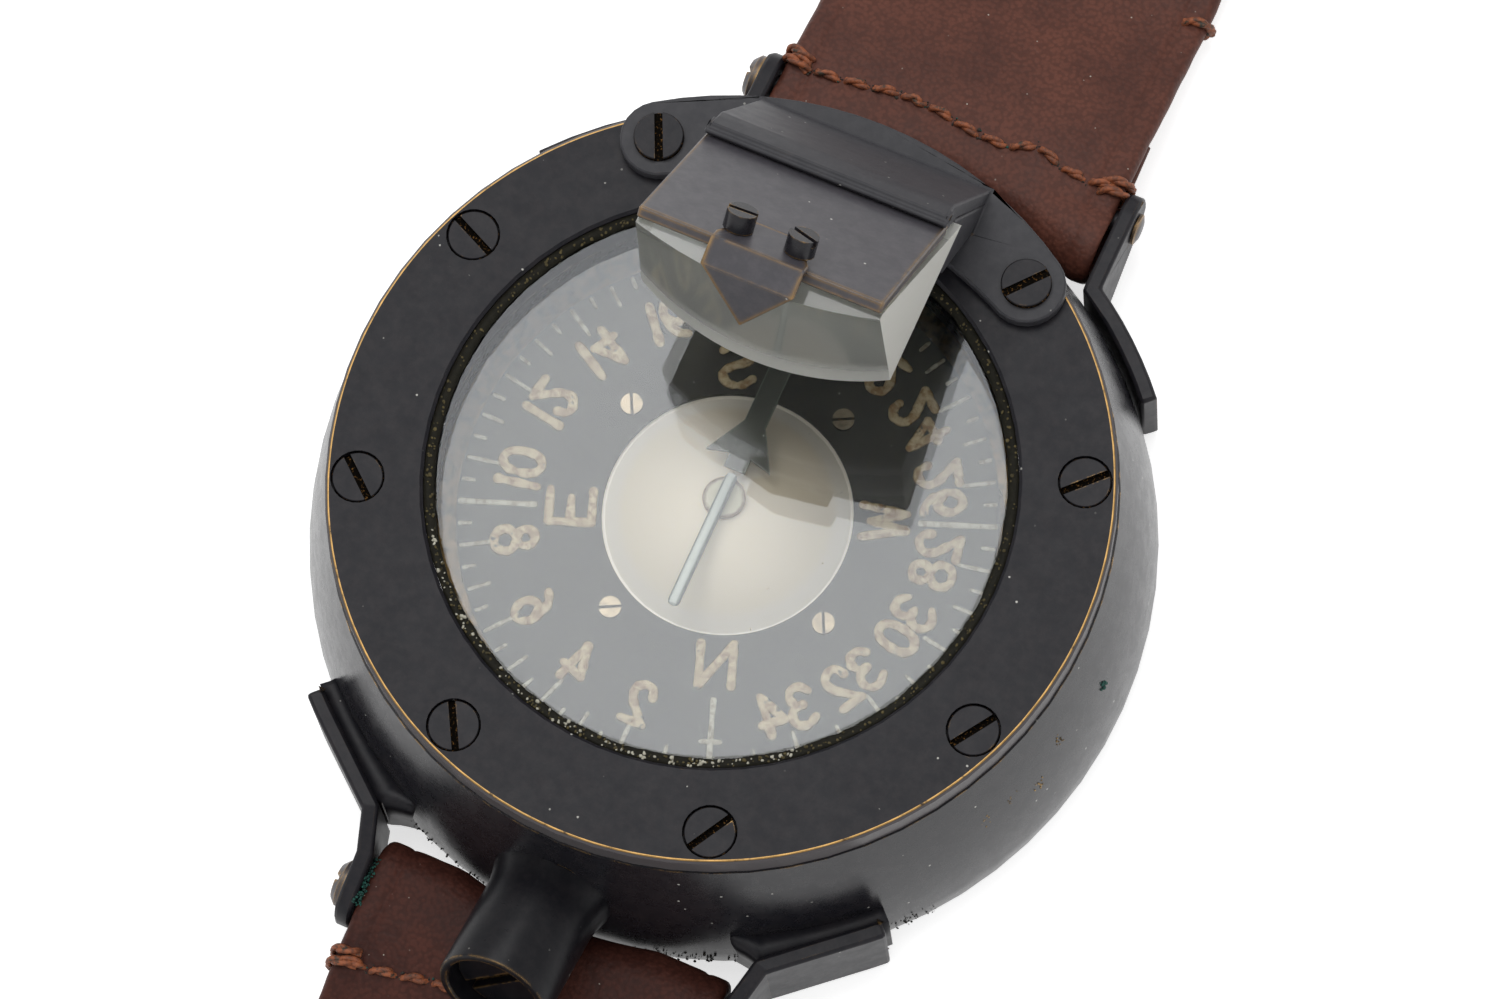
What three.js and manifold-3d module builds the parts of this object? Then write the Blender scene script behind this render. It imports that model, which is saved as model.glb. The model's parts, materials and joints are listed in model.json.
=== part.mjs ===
// Wrist compass for a pilot: liquid-filled brass case, reading prism on a
// bracket over the dial, and a two-piece leather strap on soldered lugs.
// Millimetres, +Z out of the glass, +Y to the prism, +X to its right.
// The origin is the centre of the flat back.
import * as THREE from 'three';
import { mergeVertices, mergeGeometries } from 'three/addons/utils/BufferGeometryUtils.js';
import Module from 'manifold-3d';

const wasm = await Module();
wasm.setup();

// Clearances shared by every fit
const gap = 0.3;
const fit = 0.15;
const seat = 0.1;
const overrun = 2;

// Driving dimensions of the case, from the back face up
const height = 25;
const bezel = { outerR: 38.1, innerR: 28.66, skirt: 3, web: 1.2, chamfer: 0.3, screwIn: 3.15 };
const shell = {
  seamStep: 0.2, bulge: 3.5, wideZ: 5, footTuck: 0.8, wall: 4.4, ledgeWide: 3.26, ledgeThick: 3,
  rabbet: 1.2, roofIn: 4.4, roofDrop: 4.6, shoulderPower: 1.5,
};
const seamR = bezel.outerR + shell.seamStep;
const wideR = seamR + shell.bulge;
const backPlate = { thick: 2, chamfer: 0.5 };
const glass = { flange: 2.7, flangeOver: 2.3, rise: 0.7, bevel: 0.8, shoulder: 0.46 };
const gasket = { thick: 1.2, width: 1.9 };
const diaphragm = { thick: 0.4, lift: 1, waves: 2, wave: 0.45 };
const screwCircleR = bezel.outerR - bezel.screwIn;
const bezelScrew = {
  headR: 2.5, headThick: 1.3, shankR: 1.3, bite: 4.4, slot: 0.7, slotDeep: 0.6, sunk: 0.1,
};
const bracketScrew = {
  headR: 2.45, headThick: 0.6, shankR: 1.3, bite: 4.4, slot: 0.8, slotDeep: 0.4, angle: 33.75,
};

// Card, float and pivot
const card = { r: 26.5, thick: 0.6, topBelowGlass: 7 };
const float = { r: 12, rise: 5.4, wall: 0.8, flangeR: 16.3, flangeThick: 1.1, hubR: 1.3 };
const cap = { discR: 2.1, discThick: 0.4, stem: 2.6, cupR: 0.8, cupDeep: 1 };
const cardScrew = {
  circleR: 14.7, headR: 1.1, headThick: 0.45, shankR: 0.5, slot: 0.3, slotDeep: 0.2, angle: 26.5,
};
const magnet = { wide: 3, tall: 3, long: 28, apart: 16 };
const pivotPlate = { thick: 1.2, z: 5, holeR: 5, holeCircleR: 22 };
const pivotPost = { baseR: 3, baseThick: 1, r: 1, coneLong: 3 };

// Lubber line under the glass
const lubber = { thick: 0.4, barWide: 2.2, barEnd: 7.6, barbX: 3.4, barbY: 3.5, notchY: 5.2, tipY: 2.6 };
const tube = { r: 0.5, end: 12.1 };

// Reading prism, its bracket and the index clip
const prismCentreX = 0.3;
const prism = {
  wide: 25.8, topWide: 24.8, leg: 16.8, frontY: 11.8, lift: 12.8, bulge: 3.3,
  topFlat: 0.6, topBulge: 1.7, tall: 15.8,
};
const cover = { wide: 24.8, thick: 1.2, front: 1.5, rear: 1.6 };
const bracket = {
  wide: 24.4, flangeThick: 1.5, flangeInnerR: 29.8, earR: 3.85, footY: 36.6, footIn: 1.7, wall: 1,
  lipThick: 1.3, lipOver: 0.7, lipWide: 25, cheek: 1.2, cheekReach: 3.6, cheekFoot: 7, cheekToe: 5.2,
};
const clip = {
  wide: 9.4, thick: 0.8, tabLong: 2.8, reach: 1.1, noseY: 10.1, noseDrop: 0.9, tipY: 7.6, tipDrop: 6,
};
const clipScrew = {
  headR: 1.5, headThick: 1.9, shankR: 0.5, apart: 6.2, slot: 0.5, slotDeep: 0.6, inset: 0.95,
};

// Filler boss on the six o'clock side; mouthOut and flareOut are beyond the widest line of the case
const boss = {
  r: 6.2, z: 14.7, mouthOut: 10.2, wall: 0.9, socketDeep: 6, boreR: 3.4,
  flareR: 8.2, flareOut: 2.6, flareStep: 1.6,
};
const plug = { headThick: 3, slot: 1.1, slotDeep: 1.1, shankR: 3.2, shankLong: 5, slotTurn: 35 };
const washer = { thick: 0.5, innerR: 3.5 };

// Lugs and the pins that carry the strap
const lug = { thick: 1.7, bottom: 0.5, height: 10.5, corner: 1.8, boreR: 1.15, sideRoom: 0.35 };
const upperLug = {
  centreX: 3.6, pinOut: 2.8, pinZ: 7.2, tipR: 3.1, offCase: 0.1, standoff: 0, splay: 0, endTurn: 50,
};
const lowerLug = {
  centreX: 0.3, pinOut: 4.8, pinZ: 5, tipR: 3.9, offCase: 0.9, standoff: 1.1, splay: 1.2, endTurn: 44,
};
const solder = { bottom: 1.5, height: 8, endTurn: 2 };
const pin = { r: 1, headR: 2.4, headThick: 1.2, tailR: 1.6, tailThick: 0.5, slot: 0.6, slotDeep: 0.4 };

// Leather strap and its buckle
const strap = { thick: 2.3, wide: 36.5, flap: 9, run: 26, shift: 0.1 };
const lugHalfInner = strap.wide / 2 + lug.sideRoom;
const upperFold = 1.2;
const lowerFold = 1.9;
const barFold = 1.8;
const buckleStrap = { reach: 78, flap: 12, restZ: 2.2, slotWide: 4.6 };
const tailStrap = {
  reach: 165, restZ: 0.3, holeR: 1.6, holes: 7, holePitch: 11, firstHole: 26, pointLong: 17,
};
const buckle = { barR: 1.2, z: 3.5, side: 2.8, thick: 2.4, inner: 15, corner: 4 };
const prong = { wide: 3.2, ringWall: 1.1, thick: 1.7, past: 1.2 };
const keeper = { thick: 1.5, wide: 8, room: 2.6, fixedAt: 58, looseAt: 40 };

// Facets in a turn
const bigSides = 64;
const midSides = 40;
const smallSides = 16;
const headSides = 24;

// Heights and radii that several pieces share
const seamZ = height - bezel.skirt;
const webZ = height - bezel.web;
const recessR = bezel.innerR + glass.flangeOver + gap;
const glassZ = webZ - fit - glass.flange;
const ledgeZ = glassZ - gasket.thick;
const innerR = wideR - shell.wall;
const rabbetR = innerR + shell.rabbet;
const cardTopZ = glassZ - card.topBelowGlass;
const cardZ = cardTopZ - card.thick;
const floatTopZ = cardZ + float.rise;
const prismZ = height + prism.lift;
const prismRearY = prism.frontY + prism.leg;
const prismTopZ = prismZ + prism.tall;
const prismTopRearY = prismRearY - prism.tall;
const coverPlane = prismRearY + prismZ + (cover.thick + gap) * Math.SQRT2;
const flangeTopZ = height + bracket.flangeThick;
const pinHoleR = pin.r + seat * 2;
const lugTopZ = lug.bottom + lug.height;
const upperPinY = wideR + upperLug.pinOut;
const lowerPinY = wideR + lowerLug.pinOut;
const strapX = upperLug.centreX - strap.shift;
const bronzed = { color: 0x3b3b40, roughness: 0.42, metalness: 0.55 };
const wornBrass = { color: 0x8a7348, roughness: 0.45, metalness: 0.8 };
const leather = { color: 0x5a352b, roughness: 0.7, metalness: 0 };

// Geometry helpers

// Shares vertices, drops flat triangles and turns the faces outward
function solid(geometry) {
  const bare = new THREE.BufferGeometry();
  const flat = geometry.index ? geometry.toNonIndexed() : geometry;
  bare.setAttribute('position', flat.attributes.position.clone());
  const shared = mergeVertices(bare);
  const at = shared.attributes.position;
  const corners = [new THREE.Vector3(), new THREE.Vector3(), new THREE.Vector3()];
  const kept = [];
  let volume = 0;
  for (let i = 0; i < shared.index.count; i += 3) {
    const ids = [0, 1, 2].map((k) => shared.index.getX(i + k));
    if (new Set(ids).size < 3) continue;
    ids.forEach((id, k) => corners[k].fromBufferAttribute(at, id));
    volume += corners[0].dot(corners[1].clone().cross(corners[2]));
    kept.push(...ids);
  }
  if (volume < 0) {
    for (let i = 0; i < kept.length; i += 3) [kept[i], kept[i + 1]] = [kept[i + 1], kept[i]];
  }
  shared.setIndex(kept);
  return shared;
}

function toManifold(geometry) {
  const closed = solid(geometry);
  return new wasm.Manifold(new wasm.Mesh({
    numProp: 3,
    vertProperties: Float32Array.from(closed.attributes.position.array),
    triVerts: Uint32Array.from(closed.index.array),
  }));
}

function fromManifold(manifold) {
  const mesh = manifold.getMesh();
  const geometry = new THREE.BufferGeometry();
  geometry.setAttribute('position', new THREE.BufferAttribute(mesh.vertProperties, 3));
  geometry.setIndex(new THREE.BufferAttribute(mesh.triVerts, 1));
  return geometry;
}

function join(...pieces) {
  return fromManifold(pieces.map(toManifold).reduce((whole, piece) => whole.add(piece)));
}

function cut(base, ...tools) {
  return fromManifold(tools.map(toManifold).reduce((whole, tool) => whole.subtract(tool), toManifold(base)));
}

function common(first, second) {
  return fromManifold(toManifold(first).intersect(toManifold(second)));
}

// Revolves [radius, height] points about the Z axis
function revolve(points, sides) {
  const profile = points.map(([r, h]) => new THREE.Vector2(r, h));
  return new THREE.LatheGeometry(profile, sides).rotateX(Math.PI / 2);
}

function ringProfile(inner, outer, low, high) {
  return [[inner, low], [outer, low], [outer, high], [inner, high], [inner, low]];
}

function rodProfile(r, low, high) {
  return [[0, low], [r, low], [r, high], [0, high]];
}

function outline(points, holes = []) {
  const shape = new THREE.Shape(points.map(([a, b]) => new THREE.Vector2(a, b)));
  holes.forEach((hole) => shape.holes.push(new THREE.Path(hole.map(([a, b]) => new THREE.Vector2(a, b)))));
  return shape;
}

function circlePoints(a, b, r, sides) {
  return arcPoints(a, b, r, 0, 2 * Math.PI, sides).slice(0, -1);
}

function arcPoints(a, b, r, from, to, steps) {
  return Array.from({ length: steps + 1 }, (_, i) => {
    const turn = from + (to - from) * i / steps;
    return [a + r * Math.cos(turn), b + r * Math.sin(turn)];
  });
}

// A plan outline in X and Y, between two heights
function slab(shape, low, high) {
  const geometry = new THREE.ExtrudeGeometry(shape, { depth: high - low, bevelEnabled: false });
  return geometry.translate(0, 0, low);
}

// A side outline in Y and Z, between two places along X
function acrossX(shape, left, right) {
  const geometry = new THREE.ExtrudeGeometry(shape, { depth: right - left, bevelEnabled: false });
  const axes = new THREE.Matrix4().makeBasis(
    new THREE.Vector3(0, 1, 0), new THREE.Vector3(0, 0, 1), new THREE.Vector3(1, 0, 0));
  return geometry.applyMatrix4(axes).translate(left, 0, 0);
}

// Joins two level outlines with the same number of corners
function loft(lower, upper) {
  const count = lower.length;
  const cap = THREE.ShapeUtils.triangulateShape(lower.map(([x, y]) => new THREE.Vector2(x, y)), []);
  const faces = cap.flatMap(([i, j, k]) => [[i, k, j], [i + count, j + count, k + count]]);
  for (let i = 0; i < count; i += 1) {
    const next = (i + 1) % count;
    faces.push([i, next, next + count], [i, next + count, i + count]);
  }
  const geometry = new THREE.BufferGeometry();
  geometry.setAttribute('position', new THREE.Float32BufferAttribute([...lower, ...upper].flat(), 3));
  return geometry.setIndex(faces.flat());
}

function block(x, y, z, wide, deep, tall) {
  return new THREE.BoxGeometry(wide, deep, tall).translate(x, y, z);
}

// Clock angle in degrees, clockwise from twelve, to a place on the face
function onClock(r, degrees) {
  const turn = THREE.MathUtils.degToRad(degrees);
  return [r * Math.sin(turn), r * Math.cos(turn)];
}

const group = new THREE.Group();

function addPiece(name, geometry, look, extra = {}) {
  const closed = solid(geometry);
  closed.computeVertexNormals();
  const mesh = new THREE.Mesh(closed, new THREE.MeshStandardMaterial({ ...look, ...extra }));
  mesh.name = name;
  group.add(mesh);
}

// Outside of the case, from the foot out to the widest line and up the shoulder to the seam
function caseOutside() {
  const steps = 5;
  const footR = wideR - shell.footTuck;
  const footRise = (i) => Math.PI / 2 * i / steps;
  const foot = Array.from({ length: steps }, (_, i) => [
    footR + shell.footTuck * Math.sin(footRise(i)), shell.wideZ * (1 - Math.cos(footRise(i)))]);
  const shoulder = Array.from({ length: steps + 1 }, (_, i) => {
    const draw = shell.bulge * (i / steps) ** shell.shoulderPower;
    return [wideR - draw, shell.wideZ + (seamZ - shell.wideZ) * i / steps];
  });
  return [...foot, ...shoulder];
}

function caseProfile() {
  const roofZ = ledgeZ - shell.ledgeThick;
  const ledgeR = recessR - shell.ledgeWide;
  return [
    [rabbetR, 0], ...caseOutside(), [recessR, seamZ], [recessR, ledgeZ], [ledgeR, ledgeZ],
    [ledgeR, roofZ], [innerR - shell.roofIn, roofZ], [innerR, roofZ - shell.roofDrop],
    [innerR, backPlate.thick + fit], [rabbetR, backPlate.thick + fit], [rabbetR, 0],
  ];
}

const bezelScrewAngles = [67.5, 112.5, 157.5, 202.5, 247.5, 292.5];
const bracketScrewAngles = [-bracketScrew.angle, bracketScrew.angle];

function shankHole(screw, angle, top) {
  const [x, y] = onClock(screwCircleR, angle);
  const bore = rodProfile(screw.shankR + fit, seamZ - screw.bite - fit, top);
  return revolve(bore, smallSides).translate(x, y, 0);
}

function caseBowl() {
  const holes = [
    ...bezelScrewAngles.map((angle) => shankHole(bezelScrew, angle, seamZ + overrun)),
    ...bracketScrewAngles.map((angle) => shankHole(bracketScrew, angle, seamZ + overrun)),
  ];
  const fillerHole = new THREE.CylinderGeometry(boss.boreR, boss.boreR, shell.wall * 2 + overrun, smallSides)
    .translate(0, -wideR, boss.z);
  return cut(revolve(caseProfile(), bigSides), ...holes, fillerHole);
}

function bezelRing() {
  const { outerR, chamfer } = bezel;
  const ring = revolve([
    [bezel.innerR, webZ], [recessR, webZ], [recessR, seamZ], [outerR, seamZ], [outerR, height - chamfer],
    [outerR - chamfer, height], [bezel.innerR + chamfer, height], [bezel.innerR, height - chamfer],
    [bezel.innerR, webZ],
  ], bigSides);
  const headFloor = height - bezelScrew.sunk - bezelScrew.headThick;
  const counterbores = bezelScrewAngles.map((angle) => {
    const [x, y] = onClock(screwCircleR, angle);
    const profile = rodProfile(bezelScrew.headR + fit, headFloor, height + overrun);
    return revolve(profile, headSides).translate(x, y, 0);
  });
  const holes = [
    ...bezelScrewAngles.map((angle) => shankHole(bezelScrew, angle, height + overrun)),
    ...bracketScrewAngles.map((angle) => shankHole(bracketScrew, angle, height + overrun)),
  ];
  return cut(ring, ...counterbores, ...holes);
}

function coverGlass() {
  const flangeR = bezel.innerR + glass.flangeOver;
  const topR = bezel.innerR - glass.shoulder;
  const flangeTop = glassZ + glass.flange;
  const top = flangeTop + glass.rise;
  return revolve([
    [0, glassZ], [flangeR, glassZ], [flangeR, flangeTop], [topR, flangeTop],
    [topR - glass.bevel, top], [0, top],
  ], bigSides);
}

function diaphragmProfile() {
  const edge = innerR - gap;
  const steps = diaphragm.waves * 4;
  const base = backPlate.thick + fit + diaphragm.lift;
  const sheet = Array.from({ length: steps + 1 }, (_, i) => [
    edge * i / steps, base + diaphragm.wave * Math.sin(2 * Math.PI * diaphragm.waves * i / steps)]);
  const upper = sheet.map(([r, h]) => [r, h + diaphragm.thick]).reverse();
  return [...sheet, ...upper];
}

// A slotted screw that stands on Z = 0 with its head above and its shank below
function slottedScrew(screw, shankLong, turn, sides = smallSides) {
  const body = revolve([
    [0, -shankLong], [screw.shankR, -shankLong], [screw.shankR, 0], [screw.headR, 0],
    [screw.headR, screw.headThick], [0, screw.headThick],
  ], sides);
  const slot = block(0, 0, screw.headThick, screw.headR * 3, screw.slot, screw.slotDeep * 2);
  return cut(body, slot.rotateZ(THREE.MathUtils.degToRad(turn)));
}

// Card, float, cap and magnets turn together on the pivot
function floatProfile() {
  const { r, rise, wall, flangeR, flangeThick, hubR } = float;
  const ball = (r * r + rise * rise) / (2 * rise);
  const centreZ = floatTopZ - ball;
  const rim = Math.asin(r / ball);
  const hub = Math.asin(hubR / ball);
  const steps = 5;
  const shellArc = (radius) => Array.from({ length: steps + 1 }, (_, i) => {
    const turn = rim + (hub - rim) * i / steps;
    return [radius * Math.sin(turn), centreZ + radius * Math.cos(turn)];
  });
  const outer = shellArc(ball);
  const inner = shellArc(ball - wall).reverse();
  inner[0] = [hubR, inner[0][1]];
  outer[steps] = [hubR, outer[steps][1]];
  const flangeZ = cardZ - flangeThick;
  const throat = inner[steps][0];
  return [[flangeR, cardZ], ...outer, ...inner, [throat, flangeZ], [flangeR, flangeZ], [flangeR, cardZ]];
}

const cardScrewAngles = [0, 1, 2, 3].map((i) => cardScrew.angle + 90 * i);

function cardScrewHoles() {
  return cardScrewAngles.map((angle) => {
    const [x, y] = onClock(cardScrew.circleR, angle);
    const low = cardZ - float.flangeThick - overrun;
    const bore = rodProfile(cardScrew.shankR + fit, low, cardTopZ + overrun);
    return revolve(bore, smallSides).translate(x, y, 0);
  });
}

function cardDisc() {
  const ring = revolve(ringProfile(float.r + gap, card.r, cardZ, cardTopZ), bigSides);
  return cut(ring, ...cardScrewHoles());
}

function floatDome() {
  return cut(revolve(floatProfile(), midSides), ...cardScrewHoles());
}

function pivotCap() {
  const discZ = floatTopZ + seat;
  const stemZ = discZ - cap.stem;
  const stemR = float.hubR - fit;
  return revolve([
    [0, stemZ + cap.cupDeep], [cap.cupR, stemZ], [stemR, stemZ], [stemR, discZ], [cap.discR, discZ],
    [cap.discR, discZ + cap.discThick], [0, discZ + cap.discThick],
  ], smallSides * 2);
}

function pivotPlateDisc() {
  const top = pivotPlate.z + pivotPlate.thick;
  const holes = [0, 1, 2, 3, 4, 5].map((i) => {
    const [x, y] = onClock(pivotPlate.holeCircleR, 60 * i);
    const hole = rodProfile(pivotPlate.holeR, pivotPlate.z - overrun, top + overrun);
    return revolve(hole, smallSides).translate(x, y, 0);
  });
  return cut(revolve(rodProfile(innerR - gap, pivotPlate.z, top), midSides), ...holes);
}

function pivotPostProfile() {
  const base = pivotPlate.z + pivotPlate.thick;
  const tip = floatTopZ + seat - cap.stem + cap.cupDeep - fit;
  return [
    [0, base], [pivotPost.baseR, base], [pivotPost.baseR, base + pivotPost.baseThick],
    [pivotPost.r, base + pivotPost.baseThick * 2], [pivotPost.r, tip - pivotPost.coneLong], [0, tip],
  ];
}

// Lubber: a flat bar from the rim, its arrowhead, and a rod over the centre
const lubberTopZ = glassZ - gap;

function lubberArrow() {
  const tailY = bezel.innerR - seat;
  const half = lubber.barWide / 2;
  const side = [
    [half, tailY], [half, lubber.barEnd], [lubber.barbX, lubber.barbY],
    [half, lubber.notchY - half], [half, lubber.tipY],
  ];
  const mirrored = side.map(([x, y]) => [-x, y]).reverse();
  return slab(outline([...side, ...mirrored]), lubberTopZ - lubber.thick, lubberTopZ);
}

function lubberTube() {
  const start = lubber.tipY - gap;
  const rod = new THREE.CylinderGeometry(tube.r, tube.r, start + tube.end, smallSides);
  return rod.translate(0, (start - tube.end) / 2, lubberTopZ - tube.r);
}

// Prism: right-angled section whose upright face bows forward, most at its foot
function readingPrism() {
  const topY = prismTopRearY - prism.topFlat;
  const rows = [
    { z: prismZ, half: prism.wide / 2, endY: prism.frontY, bulge: prism.bulge, rearY: prismRearY },
    { z: prismTopZ, half: prism.topWide / 2, endY: topY, bulge: prism.topBulge, rearY: prismTopRearY },
  ];
  const outlines = rows.map(({ z, half, endY, bulge, rearY }) => {
    const bowR = (half * half + bulge * bulge) / (2 * bulge);
    const open = Math.asin(half / bowR);
    const front = arcPoints(0, endY - bulge + bowR, bowR, -Math.PI / 2 - open, -Math.PI / 2 + open, 20);
    return [...front, [half, rearY], [-half, rearY]].map(([x, y]) => [x, y, z]);
  });
  return loft(...outlines).translate(prismCentreX, 0, 0);
}

// A point on the sloping cover: its Y, and how far it stands off the cover's outer face
function onCover(y, off) {
  const lift = off / Math.SQRT2;
  return [y + lift, coverPlane - y + lift];
}

const coverFrontY = prism.frontY + cover.front;
const coverRearY = prismRearY - cover.rear;

function coverPlate() {
  const shape = outline([
    onCover(coverFrontY, 0), onCover(coverRearY, 0),
    onCover(coverRearY, -cover.thick), onCover(coverFrontY, -cover.thick),
  ]);
  return acrossX(shape, prismCentreX - cover.wide / 2, prismCentreX + cover.wide / 2);
}

const lipFrontY = coverRearY - bracket.lipOver;

function bracketWall() {
  const heelY = coverRearY + gap;
  return outline([
    [bracket.footY, flangeTopZ - seat], onCover(heelY + bracket.wall, bracket.lipThick),
    onCover(lipFrontY, bracket.lipThick), onCover(lipFrontY, seat), onCover(heelY, seat),
    onCover(heelY, -cover.thick),
    [prismRearY + gap * Math.SQRT2, prismZ], [bracket.footY - bracket.footIn, flangeTopZ - seat],
  ]);
}

function bracketLip() {
  const heelY = coverRearY + gap;
  const round = bracket.lipThick / 2;
  const nose = onCover(lipFrontY, seat + round);
  const bow = arcPoints(nose[0], nose[1], round, Math.PI * 3 / 4, Math.PI * 7 / 4, 6);
  return outline([...bow, onCover(heelY, seat), onCover(heelY + seat, bracket.lipThick)]);
}

function bracketCheek() {
  const topZ = prismZ - seat;
  const footZ = flangeTopZ - seat;
  const frontY = prismRearY - bracket.cheekReach;
  return outline([
    [bracket.footY - bracket.footIn, footZ], [prismRearY + gap, topZ], [frontY, topZ],
    [frontY, topZ - bracket.cheekToe], [frontY + bracket.cheekFoot, footZ],
  ]);
}

// Curved flange: its inner edge draws in towards the ears and runs into them
function bracketFlange() {
  const wide = THREE.MathUtils.degToRad(bracketScrew.angle);
  const steps = 16;
  const earInnerR = screwCircleR - bracket.earR;
  const outer = arcPoints(0, 0, screwCircleR + bracket.earR, Math.PI / 2 - wide, Math.PI / 2 + wide, steps);
  const inner = Array.from({ length: steps + 1 }, (_, i) => {
    const share = 2 * i / steps - 1;
    const r = bracket.flangeInnerR + (earInnerR - bracket.flangeInnerR) * share * share;
    return onClock(r, share * bracketScrew.angle);
  });
  const ears = bracketScrewAngles.map((angle) => {
    const [x, y] = onClock(screwCircleR, angle);
    const turn = Math.atan2(y, x);
    const ear = arcPoints(x, y, bracket.earR, turn, turn + 2 * Math.PI, headSides).slice(0, -1);
    return slab(outline(ear), height, flangeTopZ);
  });
  return join(slab(outline([...outer, ...inner]), height, flangeTopZ), ...ears);
}

function prismBracket() {
  const half = bracket.wide / 2;
  const lipHalf = bracket.lipWide / 2;
  const upright = [
    acrossX(bracketWall(), -half, half),
    acrossX(bracketLip(), -lipHalf, lipHalf),
    acrossX(bracketCheek(), half - bracket.cheek, half),
    acrossX(bracketCheek(), -half, bracket.cheek - half),
  ].map((piece) => piece.translate(prismCentreX, 0, 0));
  const whole = join(bracketFlange(), ...upright);
  const holes = bracketScrewAngles.map((angle) => shankHole(bracketScrew, angle, flangeTopZ + overrun));
  return cut(whole, ...holes);
}

// Clip: a tab on the cover, a bend over the front edge, and a pointed face that leans out
function indexClip() {
  const { thick, noseY, tipY } = clip;
  const bendY = coverFrontY - clip.reach;
  const bend = onCover(bendY, seat + thick);
  const nose = [noseY, bend[1] - clip.noseDrop];
  const tip = [tipY, nose[1] - clip.tipDrop];
  const tabY = coverFrontY + clip.tabLong;
  const side = outline([
    onCover(tabY, seat), onCover(tabY, seat + thick), bend, nose, tip,
    [tipY + thick, tip[1]], [noseY + thick, nose[1] - thick], onCover(bendY, seat),
  ]);
  const half = clip.wide / 2;
  const face = outline([
    [0, tip[1]], [half, nose[1]], [half, coverPlane], [-half, coverPlane], [-half, nose[1]],
  ]);
  const stencil = new THREE.ExtrudeGeometry(face, { depth: coverPlane, bevelEnabled: false })
    .rotateX(Math.PI / 2).translate(0, coverPlane, 0);
  const plain = common(acrossX(side, -half, half), stencil).translate(prismCentreX, 0, 0);
  return cut(plain, ...clipScrewPlaces().map((place) => clipBore(place)));
}

function clipScrewPlaces() {
  const [y, z] = onCover(coverFrontY + clipScrew.inset, seat + clip.thick);
  return [-1, 1].map((side) => [prismCentreX + side * clipScrew.apart / 2, y, z]);
}

function clipBore([x, y, z]) {
  const long = clip.thick + cover.thick;
  const rod = revolve(rodProfile(clipScrew.shankR + fit, -long - overrun, overrun), smallSides);
  return rod.rotateX(-Math.PI / 4).translate(x, y, z);
}

function clipScrewAt([x, y, z], turn) {
  const long = clip.thick + cover.thick;
  return slottedScrew(clipScrew, long, turn).translate(0, 0, seat).rotateX(-Math.PI / 4).translate(x, y, z);
}

// Boss: a tube along -Y, flared where it meets the case
const mouthY = wideR + boss.mouthOut;
const socketR = boss.r - boss.wall;
const socketFloorY = mouthY - boss.socketDeep;

// A lathe about Y through the middle of the boss
function onBoss(points) {
  const lathe = new THREE.LatheGeometry(points.map(([r, h]) => new THREE.Vector2(r, h)), smallSides * 2);
  return lathe.translate(0, 0, boss.z);
}

function fillerBoss() {
  const rootY = seamR - shell.wall;
  const flareLong = wideR + boss.flareOut - seamR;
  const steps = 5;
  const flare = Array.from({ length: steps + 1 }, (_, i) => [
    boss.r + (boss.flareR - boss.r) * (1 - Math.sin(Math.PI / 2 * i / steps)),
    -(seamR + boss.flareStep + flareLong * i / steps)]);
  const outer = onBoss([
    [0, -rootY], [boss.flareR, -rootY], ...flare, [boss.r, -mouthY], [socketR, -mouthY],
    [socketR, -socketFloorY], [0, -socketFloorY],
  ]);
  const core = new THREE.CylinderGeometry(boss.boreR, boss.boreR, mouthY, smallSides);
  const skin = caseOutside().map(([r, h]) => [r + gap, h]);
  const caseRoom = revolve([[0, 0], ...skin, [seamR + gap, height], [0, height]], bigSides);
  return cut(outer, core.translate(0, -mouthY / 2 - rootY / 2, boss.z), caseRoom);
}

function fillerPlug() {
  const floor = socketFloorY + washer.thick + seat;
  const body = onBoss([
    [0, -floor + plug.shankLong], [plug.shankR, -floor + plug.shankLong], [plug.shankR, -floor],
    [socketR - fit, -floor], [socketR - fit, -floor - plug.headThick], [0, -floor - plug.headThick],
  ]);
  const slot = block(0, -floor - plug.headThick, 0, socketR * 3, plug.slotDeep * 2, plug.slot);
  return cut(body, slot.rotateY(THREE.MathUtils.degToRad(plug.slotTurn)).translate(0, 0, boss.z));
}

function fillerWasher() {
  const near = -socketFloorY - seat / 2;
  return onBoss(ringProfile(washer.innerR, socketR - fit, near - washer.thick + seat / 2, near));
}

// Widens a path into a strip of even thickness
function ribbon(path, thick) {
  const normals = path.map((point, i) => {
    const before = path[Math.max(i - 1, 0)];
    const after = path[Math.min(i + 1, path.length - 1)];
    const first = new THREE.Vector2(point[0] - before[0], point[1] - before[1]).normalize();
    const second = new THREE.Vector2(after[0] - point[0], after[1] - point[1]).normalize();
    const along = first.clone().add(second).normalize();
    const half = i > 0 && i < path.length - 1 ? first.dot(along) : 1;
    return [-along.y / half, along.x / half];
  });
  const shifted = (side) => path.map(([x, y], i) => [
    x + normals[i][0] * side * thick / 2, y + normals[i][1] * side * thick / 2]);
  return [...shifted(1), ...shifted(-1).reverse()];
}

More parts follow.
